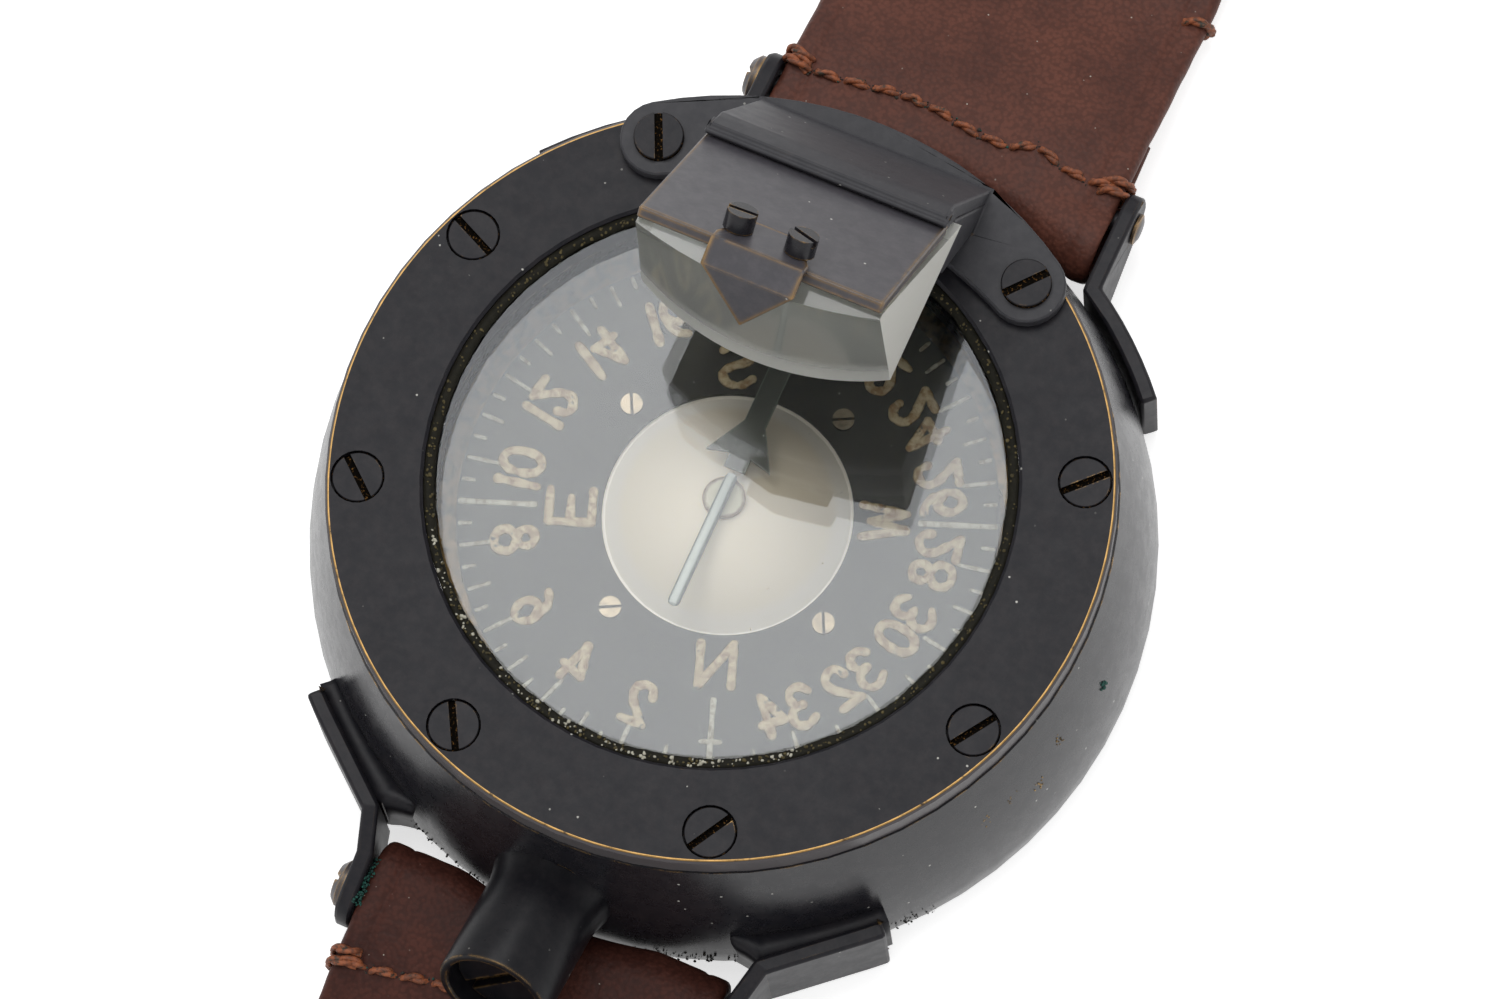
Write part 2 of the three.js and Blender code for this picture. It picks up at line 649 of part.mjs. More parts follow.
// Middle line of a lug: round the case, away at the bend, and along the leg past the pin
function lugPath(end, side) {
  const hugR = wideR + end.offCase + lug.thick / 2;
  const bendR = hugR + end.standoff;
  const legX = side * end.centreX + lugHalfInner + lug.thick / 2;
  const bendX = legX + end.splay;
  const leave = Math.asin(bendX / bendR) + Math.acos(hugR / bendR);
  const steps = 6;
  const hug = Array.from({ length: steps + 1 }, (_, i) => {
    const turn = THREE.MathUtils.degToRad(end.endTurn) * (1 - i / steps) + leave * i / steps;
    return [hugR * Math.sin(turn), hugR * Math.cos(turn)];
  });
  const bend = end.standoff > 0 ? [[bendX, Math.sqrt(bendR * bendR - bendX * bendX)]] : [];
  const pinY = wideR + end.pinOut;
  return [...hug, ...bend, [legX, pinY - pin.headR - gap], [legX, pinY + end.tipR * 2]];
}

// Side outline of a lug: tall on the case, narrowing to a round eye at the pin
function lugSide(end, path) {
  const { bottom, corner } = lug;
  const rootY = path[0][1] - lug.thick;
  const bendY = path[path.length - 3][1];
  return [
    ...arcPoints(rootY + corner, bottom + corner, corner, Math.PI, Math.PI * 3 / 2, 4),
    [bendY, bottom],
    ...arcPoints(wideR + end.pinOut, end.pinZ, end.tipR, -Math.PI / 3, Math.PI / 2, 8),
    [bendY, lugTopZ],
    ...arcPoints(rootY + corner, lugTopZ - corner, corner, Math.PI / 2, Math.PI, 4),
  ];
}

// Solder between a lug that stands off and the case
function solderFillet(end, path) {
  const low = wideR + seat;
  const high = wideR + end.offCase + lug.thick / 2;
  const [bendX, bendY] = path[path.length - 3];
  const from = Math.PI / 2 - THREE.MathUtils.degToRad(end.endTurn - solder.endTurn);
  const to = Math.atan2(bendY, bendX);
  const band = [...arcPoints(0, 0, high, from, to, 8), ...arcPoints(0, 0, low, to, from, 8)];
  return slab(outline(band), solder.bottom, solder.bottom + solder.height);
}

function strapLug(end, side, way) {
  const path = lugPath(end, side);
  const reach = wideR * 2;
  const strip = slab(outline(ribbon(path, lug.thick)), lug.bottom - overrun, lugTopZ + overrun);
  const shaped = common(strip, acrossX(outline(lugSide(end, path)), 0, reach));
  const whole = end.standoff > 0 ? join(shaped, solderFillet(end, path)) : shaped;
  const bore = acrossX(outline(circlePoints(wideR + end.pinOut, end.pinZ, lug.boreR, smallSides)), 0, reach);
  return cut(whole, bore).scale(side, way, 1);
}

// Pin: a rod through both eyes, with a slotted head and a riveted tail
function strapPin(end, way) {
  const outer = lugHalfInner + lug.thick + seat;
  const left = end.centreX - outer;
  const right = end.centreX + outer;
  const dome = pin.headThick / 2;
  const points = [
    [0, left - pin.headThick], [pin.headR - dome, left - pin.headThick], [pin.headR, left - dome],
    [pin.headR, left], [pin.r, left], [pin.r, right], [pin.tailR, right],
    [pin.tailR, right + pin.tailThick / 2], [pin.r, right + pin.tailThick], [0, right + pin.tailThick],
  ];
  const lathe = new THREE.LatheGeometry(points.map(([r, h]) => new THREE.Vector2(r, -h)), smallSides);
  const slot = block(left - pin.headThick, 0, 0, pin.slotDeep * 2, pin.slot, pin.headR * 3);
  return cut(lathe.rotateZ(Math.PI / 2), slot).translate(0, way * (wideR + end.pinOut), end.pinZ);
}

// Strap: a loop round the pin, its stitched flap, and the run down to the rest level
function strapRun(fold, pinZ, restZ) {
  const foldR = pinHoleR + fold;
  const restTop = restZ + strap.thick;
  const steps = 6;
  const topAt = (s) => {
    const share = Math.min(s / strap.run, 1);
    const ease = share * share * (3 - 2 * share);
    return (pinZ + foldR) * (1 - ease) + restTop * ease;
  };
  const top = Array.from({ length: steps + 1 }, (_, i) => {
    const s = strap.run * i / steps;
    return [s, topAt(s)];
  });
  const under = top.filter(([s]) => s > strap.flap).map(([s, h]) => [s, h - strap.thick]).reverse();
  const flapZ = topAt(strap.flap) - strap.thick;
  const round = arcPoints(0, pinZ, foldR, -Math.PI / 2, -Math.PI * 3 / 2, 12).slice(0, -1);
  const hole = circlePoints(0, pinZ, pinHoleR, smallSides);
  return { top, bottom: [...under, [strap.flap, flapZ], [strap.flap, flapZ - fold], ...round], hole };
}

const barHoleR = buckle.barR + gap;
const barFoldR = barHoleR + barFold;

function buckleEnd() {
  const { reach, flap, restZ } = buckleStrap;
  const restTop = restZ + strap.thick;
  return [
    [reach - flap - strap.thick, restTop], [reach - flap / 2, restTop + barFold / 2],
    ...arcPoints(reach, buckle.z, barFoldR, Math.PI / 2, -Math.PI / 2, 12),
    [reach - flap, restZ - barFold + strap.thick / 6], [reach - flap, restZ],
  ];
}

function upperStrap() {
  const { top, bottom, hole } = strapRun(upperFold, upperLug.pinZ, buckleStrap.restZ);
  const side = outline([...top, ...buckleEnd(), ...bottom],
    [hole, circlePoints(buckleStrap.reach, buckle.z, barHoleR, smallSides)]);
  const half = strap.wide / 2;
  const body = acrossX(side, -half, half);
  const slotLong = barFoldR * 2 + prong.ringWall + overrun;
  const slotY = buckleStrap.reach + barFoldR + overrun - slotLong / 2;
  const slot = block(0, slotY, buckle.z, buckleStrap.slotWide, slotLong, barFoldR * 4);
  return cut(body, slot).translate(strapX, upperPinY, 0);
}

function lowerStrap() {
  const { reach, restZ } = tailStrap;
  const { top, bottom, hole } = strapRun(lowerFold, lowerLug.pinZ, restZ);
  const side = outline([...top, [reach, restZ + strap.thick], [reach, restZ], ...bottom], [hole]);
  const half = strap.wide / 2;
  const body = acrossX(side, -half, half);
  const point = tailStrap.pointLong;
  const straight = reach - point;
  const tipSteps = 10;
  const rounded = Array.from({ length: tipSteps + 1 }, (_, i) => {
    const turn = Math.PI * i / tipSteps;
    return [half * Math.cos(turn), straight + point * Math.sin(turn)];
  });
  const near = -lugTopZ;
  const plan = outline([[half, near], ...rounded, [-half, near]]);
  const planCut = slab(plan, restZ - overrun, lugTopZ + overrun);
  const holes = Array.from({ length: tailStrap.holes }, (_, i) => {
    const y = straight - tailStrap.firstHole - tailStrap.holePitch * i;
    const hole = rodProfile(tailStrap.holeR, restZ - overrun, restZ + strap.thick + overrun);
    return revolve(hole, smallSides).translate(0, y, 0);
  });
  const tail = cut(common(body, planCut), ...holes).scale(1, -1, 1);
  return tail.translate(lowerLug.centreX - strap.shift * 2, -lowerPinY, 0);
}

// Buckle: a flat three-sided frame closed by the bar that the strap folds round
const barY = upperPinY + buckleStrap.reach;
const frameHalf = strap.wide / 2 + gap + buckle.side / 2;

function buckleFrame() {
  const { side, thick, inner, corner, barR } = buckle;
  const farY = inner + side;
  const half = frameHalf + side / 2;
  const arc = (x, y, r, from) => arcPoints(x, y, r, from, from + Math.PI / 2, 5);
  const outer = [[half, -side / 2], ...arc(half - corner, farY - corner, corner, 0),
    ...arc(corner - half, farY - corner, corner, Math.PI / 2), [-half, -side / 2]];
  const bend = corner - side;
  const hollow = half - side;
  const window = [[-hollow, -side / 2], ...arc(bend - hollow, inner - bend, bend, Math.PI / 2).reverse(),
    ...arc(hollow - bend, inner - bend, bend, 0).reverse(), [hollow, -side / 2]];
  const plate = slab(outline([...outer, ...window]), -thick / 2, thick / 2);
  const bar = new THREE.CylinderGeometry(barR, barR, frameHalf * 2, smallSides).rotateZ(Math.PI / 2);
  return join(plate, bar).translate(strapX, barY, buckle.z);
}

function buckleProng() {
  const ringR = barHoleR + prong.ringWall;
  const farY = buckle.inner + buckle.side + prong.past;
  const restZ = buckle.thick / 2 + seat;
  const root = Math.acos(restZ / ringR) - Math.PI / 2;
  const ring = arcPoints(0, 0, ringR, Math.PI / 2, Math.PI * 2 + root, 14);
  const tongue = [[buckle.inner - prong.thick, restZ], [farY, restZ], [farY, restZ + prong.thick / 2],
    [buckle.inner - prong.thick, restZ + prong.thick]];
  const side = outline([...ring, ...tongue], [circlePoints(0, 0, barHoleR - fit, smallSides)]);
  return acrossX(side, -prong.wide / 2, prong.wide / 2).translate(strapX, barY, buckle.z);
}

// Leather loop round the strap, with room for the tail
function keeperLoop(at) {
  const half = strap.wide / 2 + gap;
  const low = buckleStrap.restZ - gap;
  const high = buckleStrap.restZ + strap.thick + keeper.room;
  const wall = keeper.thick;
  const rim = (out) => [
    [-half - out, low - out], [half + out, low - out], [half + out, high + out], [-half - out, high + out],
  ];
  const shape = outline(rim(wall), [rim(0).reverse()]);
  const loop = new THREE.ExtrudeGeometry(shape, { depth: keeper.wide, bevelEnabled: false });
  return loop.rotateX(Math.PI / 2).translate(strapX, upperPinY + at + keeper.wide / 2, 0);
}

// Case and glass
addPiece('case_bowl', caseBowl(), bronzed);
addPiece('filler_boss', fillerBoss(), bronzed);
addPiece('filler_washer', fillerWasher(), { color: 0x6b3a2a, roughness: 0.8, metalness: 0 });
addPiece('filler_plug', fillerPlug(), wornBrass);
addPiece('back_plate', revolve([
  [0, 0], [rabbetR - fit - backPlate.chamfer, 0], [rabbetR - fit, backPlate.chamfer],
  [rabbetR - fit, backPlate.thick], [0, backPlate.thick]], bigSides), bronzed);
addPiece('expansion_diaphragm', revolve(diaphragmProfile(), midSides), wornBrass);
const gasketRing = ringProfile(recessR - gap - gasket.width, recessR - gap, ledgeZ, glassZ);
addPiece('glass_gasket', revolve(gasketRing, bigSides), { color: 0x1d1c1a, roughness: 0.9, metalness: 0 });
addPiece('cover_glass', coverGlass(), { color: 0xbfd0d4, roughness: 0.05, metalness: 0 },
  { transparent: true, opacity: 0.35 });
addPiece('bezel_ring', bezelRing(), bronzed);
const bezelSlotTurns = [25, 8, 38, 82, 72, 64];
bezelScrewAngles.forEach((angle, i) => {
  const [x, y] = onClock(screwCircleR, angle);
  const headZ = height - bezelScrew.sunk - bezelScrew.headThick;
  const long = headZ - seamZ + bezelScrew.bite;
  const screw = slottedScrew(bezelScrew, long, bezelSlotTurns[i], headSides);
  addPiece(`bezel_screw_${i + 1}`, screw.translate(x, y, headZ), bronzed);
});

// Compass card and its pivot
addPiece('card_disc', cardDisc(), { color: 0x23262a, roughness: 0.7, metalness: 0 });
addPiece('float_dome', floatDome(), { color: 0xd8dcc8, roughness: 0.5, metalness: 0 });
addPiece('pivot_cap', pivotCap(), { color: 0xb9b6a0, roughness: 0.4, metalness: 0.4 });
cardScrewAngles.forEach((angle, i) => {
  const [x, y] = onClock(cardScrew.circleR, angle);
  const screw = slottedScrew(cardScrew, card.thick + float.flangeThick, angle);
  addPiece(`card_screw_${i + 1}`, screw.translate(x, y, cardTopZ), wornBrass);
});
[['magnet_left', -1], ['magnet_right', 1]].forEach(([name, side]) => {
  const z = cardZ - float.flangeThick - magnet.tall / 2;
  addPiece(name, block(side * magnet.apart / 2, 0, z, magnet.wide, magnet.long, magnet.tall),
    { color: 0x55565a, roughness: 0.5, metalness: 0.9 });
});
addPiece('pivot_plate', pivotPlateDisc(), wornBrass);
addPiece('pivot_post', revolve(pivotPostProfile(), smallSides),
  { color: 0x77787c, roughness: 0.3, metalness: 0.9 });
addPiece('lubber_arrow', lubberArrow(), { color: 0x6f7673, roughness: 0.4, metalness: 0 });
addPiece('lubber_tube', lubberTube(), { color: 0xa8c2c8, roughness: 0.1, metalness: 0 });

// Prism and bracket
addPiece('prism_bracket', prismBracket(), bronzed);
addPiece('prism', readingPrism(), { color: 0xd5dcd6, roughness: 0.05, metalness: 0 },
  { transparent: true, opacity: 0.4 });
const clipBores = clipScrewPlaces().map((place) => clipBore(place));
addPiece('prism_cover_plate', cut(coverPlate(), ...clipBores), bronzed);
addPiece('index_clip', indexClip(), bronzed);
const bracketSlotTurns = [97, 22];
const clipSlotTurns = [4, -24];
['left', 'right'].forEach((side, i) => {
  const [x, y] = onClock(screwCircleR, bracketScrewAngles[i]);
  const long = flangeTopZ - seamZ + bracketScrew.bite;
  const screw = slottedScrew(bracketScrew, long, bracketSlotTurns[i], headSides);
  addPiece(`bracket_screw_${side}`, screw.translate(x, y, flangeTopZ), bronzed);
  addPiece(`index_screw_${side}`, clipScrewAt(clipScrewPlaces()[i], clipSlotTurns[i]), bronzed);
});

// Lugs, pins, strap and buckle
addPiece('lug_upper_left', strapLug(upperLug, -1, 1), bronzed);
addPiece('lug_upper_right', strapLug(upperLug, 1, 1), bronzed);
addPiece('lug_lower_left', strapLug(lowerLug, -1, -1), bronzed);
addPiece('lug_lower_right', strapLug(lowerLug, 1, -1), bronzed);
addPiece('strap_pin_upper', strapPin(upperLug, 1), wornBrass);
addPiece('strap_pin_lower', strapPin(lowerLug, -1), wornBrass);
addPiece('strap_upper', upperStrap(), leather);
addPiece('strap_lower', lowerStrap(), leather);
addPiece('buckle_frame', buckleFrame(), wornBrass);
addPiece('buckle_prong', buckleProng(), wornBrass);
addPiece('keeper_fixed', keeperLoop(keeper.fixedAt), leather);
addPiece('keeper_loose', keeperLoop(keeper.looseAt), leather);

export default group;
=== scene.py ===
# Wrist compass: studio, finishes, dial figures, leather, thread and dirt,
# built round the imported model. Blender works in metres; sizes here are in
# millimetres times MM. +Z is out of the glass, +Y points to the prism.
import json
import math
import random

import bmesh
import bpy
from mathutils import Matrix, Vector, noise


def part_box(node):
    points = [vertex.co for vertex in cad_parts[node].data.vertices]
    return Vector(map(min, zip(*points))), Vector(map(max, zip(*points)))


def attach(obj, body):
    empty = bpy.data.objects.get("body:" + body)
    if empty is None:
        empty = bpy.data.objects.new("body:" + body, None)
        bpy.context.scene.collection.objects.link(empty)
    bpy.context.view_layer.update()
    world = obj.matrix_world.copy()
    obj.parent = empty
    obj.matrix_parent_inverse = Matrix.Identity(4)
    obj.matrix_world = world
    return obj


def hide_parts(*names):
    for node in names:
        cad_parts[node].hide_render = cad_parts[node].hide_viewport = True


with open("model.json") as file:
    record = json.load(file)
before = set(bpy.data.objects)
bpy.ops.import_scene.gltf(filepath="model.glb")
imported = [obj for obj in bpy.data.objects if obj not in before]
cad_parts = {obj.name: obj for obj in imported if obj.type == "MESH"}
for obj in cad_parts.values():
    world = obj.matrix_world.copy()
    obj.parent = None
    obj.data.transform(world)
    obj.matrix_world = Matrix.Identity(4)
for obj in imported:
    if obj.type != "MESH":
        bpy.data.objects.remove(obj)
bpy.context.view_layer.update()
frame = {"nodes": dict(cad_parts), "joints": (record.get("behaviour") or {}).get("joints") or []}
NODES = frame["nodes"]
JOINTS = {joint["name"]: joint for joint in frame["joints"]}
MM = 0.001
dice = random.Random(7)


def new_object(name, data):
    thing = bpy.data.objects.new(name, data)
    bpy.context.scene.collection.objects.link(thing)
    return thing


# Places read from the frame, in millimetres


def low(node):
    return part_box(node)[0] / MM


def high(node):
    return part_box(node)[1] / MM


def joint_place(name):
    return Vector(JOINTS[name]["pos_m"]) / MM

CARD_TOP = high("card_disc").z
CARD_R = high("card_disc").x
BEZEL_R = high("bezel_ring").x
CASE_R = high("case_bowl").x
GLASS_TOP = high("cover_glass").z
UPPER_PIN = joint_place("upper_strap_swing")
LOWER_PIN = joint_place("lower_strap_swing")
BUCKLE_BAR = joint_place("buckle_swing")
CAP_R = high("pivot_cap").x
TUBE_X = (low("lubber_tube").x + high("lubber_tube").x) / 2
TUBE_R = 0.62


# Camera at the photograph's place: its three axes as the columns of its turn

IMAGE_WIDE = 1500
FOCAL_PIXELS = 7516
SENSOR_WIDE = 36
CAMERA_PLACE = Vector((129.27, -183.09, 709.29))
CAMERA_RIGHT = (0.91161, 0.40676, -0.05920)
CAMERA_UP = (-0.37198, 0.87765, 0.30226)
CAMERA_BACK = (0.17491, -0.25352, 0.95139)


def make_camera():
    camera = bpy.data.cameras.new("camera")
    camera.sensor_width = SENSOR_WIDE
    camera.lens = SENSOR_WIDE * FOCAL_PIXELS / IMAGE_WIDE
    camera.clip_start = 10 * MM
    camera.clip_end = 20000 * MM
    holder = new_object("camera", camera)
    turn = Matrix((CAMERA_RIGHT, CAMERA_UP, CAMERA_BACK)).transposed().to_4x4()
    holder.matrix_world = Matrix.Translation(CAMERA_PLACE * MM) @ turn
    bpy.context.scene.camera = holder


make_camera()
bpy.context.scene.view_settings.view_transform = "Standard"


class Nodes:
    """A node tree and short ways to add to it. A noise is given by its size, detail and roughness."""

    def __init__(self, tree):
        self.tree = tree
        tree.nodes.clear()

    def set(self, socket, value):
        """Links a socket, or sets a number or a colour on it."""
        if isinstance(value, bpy.types.NodeSocket):
            self.tree.links.new(value, socket)
        else:
            socket.default_value = (*value, 1.0) if isinstance(value, tuple) else value

    def add(self, kind, inputs=None, **settings):
        made = self.tree.nodes.new(kind)
        for name, value in settings.items():
            setattr(made, name, value)
        for key, value in (inputs or {}).items():
            self.set(made.inputs[key], value)
        return made

    def maths(self, operation, first, second=0.0):
        return self.add("ShaderNodeMath", {0: first, 1: second}, operation=operation).outputs[0]

    def times(self, first, second):
        return self.maths("MULTIPLY", first, second)

    def larger(self, first, second):
        return self.maths("MAXIMUM", first, second)

    def ramp(self, value, start, end, out_low=0.0, out_high=1.0):
        inputs = {"Value": value, "From Min": start, "From Max": end, "To Min": out_low, "To Max": out_high}
        return self.add("ShaderNodeMapRange", inputs, interpolation_type="SMOOTHSTEP").outputs["Result"]

    def mix(self, share, first, second):
        return self.add("ShaderNodeMix", {0: share, 6: first, 7: second}, data_type="RGBA").outputs[2]

    def places(self):
        return self.add("ShaderNodeTexCoord").outputs["Object"]

    def split_places(self):
        return self.add("ShaderNodeSeparateXYZ", {"Vector": self.places()}).outputs

    def axis_distance(self):
        x, y, _ = self.split_places()
        flat = self.add("ShaderNodeCombineXYZ", {0: x, 1: y}).outputs[0]
        return self.add("ShaderNodeVectorMath", {0: flat}, operation="LENGTH").outputs["Value"]

    def grain(self, size, detail=3.0, roughness=0.55):
        inputs = {"Vector": self.places(), "Scale": 1 / (size * MM), "Detail": detail, "Roughness": roughness}
        return self.add("ShaderNodeTexNoise", inputs).outputs["Fac"]

    def patches(self, start, end, *grain, out=(0.0, 1.0)):
        """A noise whose values from start to end fade in softly."""
        return self.ramp(self.grain(*grain), start, end, *out)

    def cells(self, size, feature="F1"):
        inputs = {"Vector": self.places(), "Scale": 1 / (size * MM)}
        return self.add("ShaderNodeTexVoronoi", inputs, feature=feature).outputs["Distance"]

    def bump(self, height, depth, strength):
        inputs = {"Height": height, "Distance": depth * MM, "Strength": strength}
        return self.add("ShaderNodeBump", inputs).outputs["Normal"]

    def relief(self, depth, strength, *grain):
        return self.bump(self.grain(*grain), depth, strength)

    def edge_share(self, radius, start=0.02, end=0.2):
        rounded = self.add("ShaderNodeBevel", {"Radius": radius * MM}, samples=6).outputs["Normal"]
        flat = self.add("ShaderNodeNewGeometry").outputs["Normal"]
        dot = self.add("ShaderNodeVectorMath", {0: rounded, 1: flat}, operation="DOT_PRODUCT")
        return self.ramp(self.maths("SUBTRACT", 1.0, dot.outputs["Value"]), start, end)

    def dust_share(self, size=2.2, grain_r=0.045):
        """Sparse specks of uneven shape, gathered in places."""
        ragged = self.times(self.grain(0.12), grain_r * 1.2)
        spots = self.ramp(self.maths("ADD", self.cells(size), ragged), grain_r * 2.1, grain_r * 1.3)
        return self.times(spots, self.patches(0.44, 0.56, size * 3))

    def radius_band(self, inner, outer, soft, worn):
        """A share of everything between two radii from the axis, broken up by a noise: wear on the bezel's
        edge, and a painted reflection on its chamfer.
        """
        r = self.axis_distance()
        rising = self.ramp(r, (inner - soft) * MM, inner * MM)
        falling = self.ramp(r, outer * MM, (outer + soft) * MM, 1.0, 0.0)
        return self.times(self.times(rising, falling), self.patches(0.55 - worn, 0.75 - worn, 1.6, 4, 0.7))


FINISHES = {}


class Finish(Nodes):
    """A material with a Principled shader, kept in FINISHES under its name."""

    def __init__(self, name):
        FINISHES[name] = bpy.data.materials.new(name)
        FINISHES[name].use_nodes = True
        super().__init__(FINISHES[name].node_tree)
        self.shader = self.add("ShaderNodeBsdfPrincipled")
        self.output = self.add("ShaderNodeOutputMaterial")
        self.show(self.shader)

    def show(self, shader):
        self.set(self.output.inputs["Surface"], shader.outputs[0])

    def feed(self, **sockets):
        for name, value in sockets.items():
            self.set(self.shader.inputs[name.replace("_", " ")], value)

    def lay_over(self, share, colour):
        """Blends a colour over the base colour."""
        base = self.shader.inputs["Base Color"]
        self.set(base, self.mix(share, base.links[0].from_socket, colour))


# Finishes

BRONZES = (0.011, 0.011, 0.0145), (0.020, 0.018, 0.021)
BEZEL_CHAMFER = 0.3
PRISM_HAZE = 0.14
SCREW_TOPS = {
    "screw_bezel_screw": high("bezel_screw_1").z, "screw_bracket_screw": high("bracket_screw_left").z}
BRASS = (0.46, 0.27, 0.09)
DULL_BRASS = (0.16, 0.105, 0.045)
DUST = (0.55, 0.54, 0.50)
DIRT = (0.030, 0.024, 0.016)
VERDIGRIS = (0.010, 0.10, 0.075)


def bronzed_finish(name, worn=0.5, edge=0.3, roughness=0.3, gloss=0.3, colours=BRONZES, band=None):
    """Black chemical bronzing with brass on the edges, and on a band between two radii if one is given."""
    made = Finish(name)
    base = made.mix(made.patches(0.35, 0.7, 1.4, 5, 0.7), *colours)
    spread = made.patches(0.62 - 0.3 * worn, 0.78 - 0.3 * worn, 2.2, 5, 0.7)
    wear = made.times(made.edge_share(edge), spread)
    if band:
        wear = made.larger(wear, made.radius_band(*band))
    brass = made.mix(made.grain(0.8, 3), DULL_BRASS, BRASS)
    made.feed(
        Base_Color=made.mix(made.dust_share(), made.mix(wear, base, brass), DUST),
        Roughness=made.patches(0.3, 0.7, 2, 6, 0.75, out=(roughness - 0.03, roughness + 0.05)),
        Metallic=made.times(wear, 0.85), Specular_IOR_Level=gloss, Normal=made.relief(0.012, 0.4, 0.16, 3))
    return made


def mottled_finish(name, first, second, noise_share, relief, dirt=None, **sockets):
    """Two colours blended by a noise, with a third laid over them by another noise if dirt is given."""
    made = Finish(name)
    shade = made.mix(made.patches(*noise_share), first, second)
    made.feed(Base_Color=shade, Normal=made.relief(*relief), **sockets)
    if dirt:
        made.lay_over(made.patches(*dirt[0]), dirt[1])
    return made


def plain_metal(name, colour, roughness):
    dulled = tuple(channel * 0.45 for channel in colour)
    return mottled_finish(
        name, colour, dulled, (0.4, 0.75, 0.7, 4), (0.008, 0.4, 0.12), Metallic=0.9, Roughness=roughness)


def figure_paint(name, light, brown):
    """Old raised paint, brown and then black in patches."""
    mottled_finish(
        name, light, brown, (0.38, 0.66, 0.9, 5, 0.7), (0.04, 0.6, 0.25, 4),
        ((0.62, 0.70, 1.9, 4, 0.65), (0.03, 0.028, 0.02)), Roughness=0.6)


def crumb_finish(name, first, second):
    mottled_finish(name, first, second, (0.3, 0.7, 0.4, 3), (0.05, 0.8, 0.1, 3), Roughness=0.8)


def dirty_slot(made, top):
    """Old dirt and painted shade on a screw's finish, in its slot, which lies below the top of its head."""
    below = made.ramp(made.split_places()[2], (top - 0.12) * MM, (top - 0.04) * MM, 1.0, 0.0)
    above = made.maths("SUBTRACT", 1.0, below)
    bits = made.patches(0.56, 0.66, 0.3, 4, 0.7)
    # Painted shade: the slot is near-black with brown bits of dirt, and below its edge the gloss and metal
    # are taken out.
    made.lay_over(below, made.mix(bits, (0.006, 0.005, 0.004), (0.20, 0.10, 0.03)))
    for name in ("Specular IOR Level", "Metallic"):
        socket = made.shader.inputs[name]
        share = socket.links[0].from_socket if socket.is_linked else socket.default_value
        made.set(socket, made.times(above, share))


def worn_brass_finish():
    made = Finish("worn_brass")
    tarnish = made.patches(0.35, 0.7, 1.5, 5, 0.7)
    made.feed(
        Base_Color=made.mix(tarnish, (0.30, 0.20, 0.09), (0.045, 0.034, 0.022)), Metallic=0.9,
        Roughness=made.ramp(tarnish, 0, 1, 0.3, 0.55), Normal=made.relief(0.01, 0.4, 0.2))


def cover_glass_finish():
    made = Finish("cover_glass")
    made.tree.nodes.remove(made.shader)
    clear = made.add("ShaderNodeBsdfTransparent", {"Color": (0.99, 0.985, 0.965)})
    smear = made.patches(0.4, 0.8, 7, 4, out=(0.015, 0.05))
    mirror = made.add("ShaderNodeBsdfGlossy", {"Roughness": smear, "Color": (0.93, 0.96, 1.0)})
    share = made.add("ShaderNodeFresnel", {"IOR": 1.5}).outputs[0]
    mixed = made.add("ShaderNodeMixShader", {0: share, 1: clear.outputs[0], 2: mirror.outputs[0]})
    dust = made.add("ShaderNodeBsdfDiffuse", {"Color": DUST}).outputs[0]
    made.show(made.add("ShaderNodeMixShader", {0: made.dust_share(1.7), 1: mixed.outputs[0], 2: dust}))


def prism_finish():
    """Clear glass, ground on its two ends, and whiter and less clear towards its foot, which is painted
    light: the brightness of the lower half of the glass.
    """
    made = Finish("prism_glass")
    normal = made.add("ShaderNodeTexCoord").outputs["Normal"]
    side = made.add("ShaderNodeSeparateXYZ", {"Vector": normal}).outputs[0]
    foot_z = low("prism").z
    # Painted light: foot whitens the glass and takes away some of its clearness low down.
    foot = made.ramp(made.split_places()[2], (foot_z + 0.6) * MM, (foot_z + 6.5) * MM, 0.62, 0.0)
    ends = made.ramp(made.maths("ABSOLUTE", side), 0.6, 0.8)
    # ground holds both the ground ends and the painted light towards the foot.
    ground = made.larger(ends, made.larger(foot, PRISM_HAZE))
    made.feed(
        Base_Color=made.mix(ground, (0.93, 0.95, 0.92), (0.86, 0.85, 0.79)), IOR=1.52,
        Roughness=made.larger(made.times(ground, 0.6), made.patches(0.5, 0.9, 5, 4, out=(0.0, 0.05))),
        Transmission_Weight=made.ramp(ground, 0, 1, 1.0, 0.35))


def tube_finish():
    """Glass rod, pale along its middle and dark along both sides: painted shade on its sides and a painted
    highlight down its middle, where round glass bends the light.
    """
    made = Finish("lubber_glass")
    off = made.maths("ABSOLUTE", made.maths("SUBTRACT", made.split_places()[0], TUBE_X * MM))
    side = made.ramp(off, 0.4 * TUBE_R * MM, 0.8 * TUBE_R * MM)
    # Painted shade: the rod darkens towards both sides, and is painted pale down its middle.
    shade = made.mix(side, (0.80, 0.88, 0.87), (0.10, 0.14, 0.14))
    made.feed(Base_Color=shade, Roughness=0.1, IOR=1.25, Transmission_Weight=0.25)


def packing_finish():
    made = Finish("packing")
    scattered = made.times(made.ramp(made.cells(0.5), 0.22, 0.08), made.patches(0.5, 0.65, 2.5, 3))
    base = made.mix(made.grain(0.6, 4), (0.003, 0.003, 0.002), (0.018, 0.016, 0.009))
    made.feed(
        Base_Color=made.mix(scattered, base, (0.17, 0.145, 0.06)), Roughness=0.6, Specular_IOR_Level=0.15,
        Normal=made.relief(0.12, 0.8, 0.35, 5, 0.7))


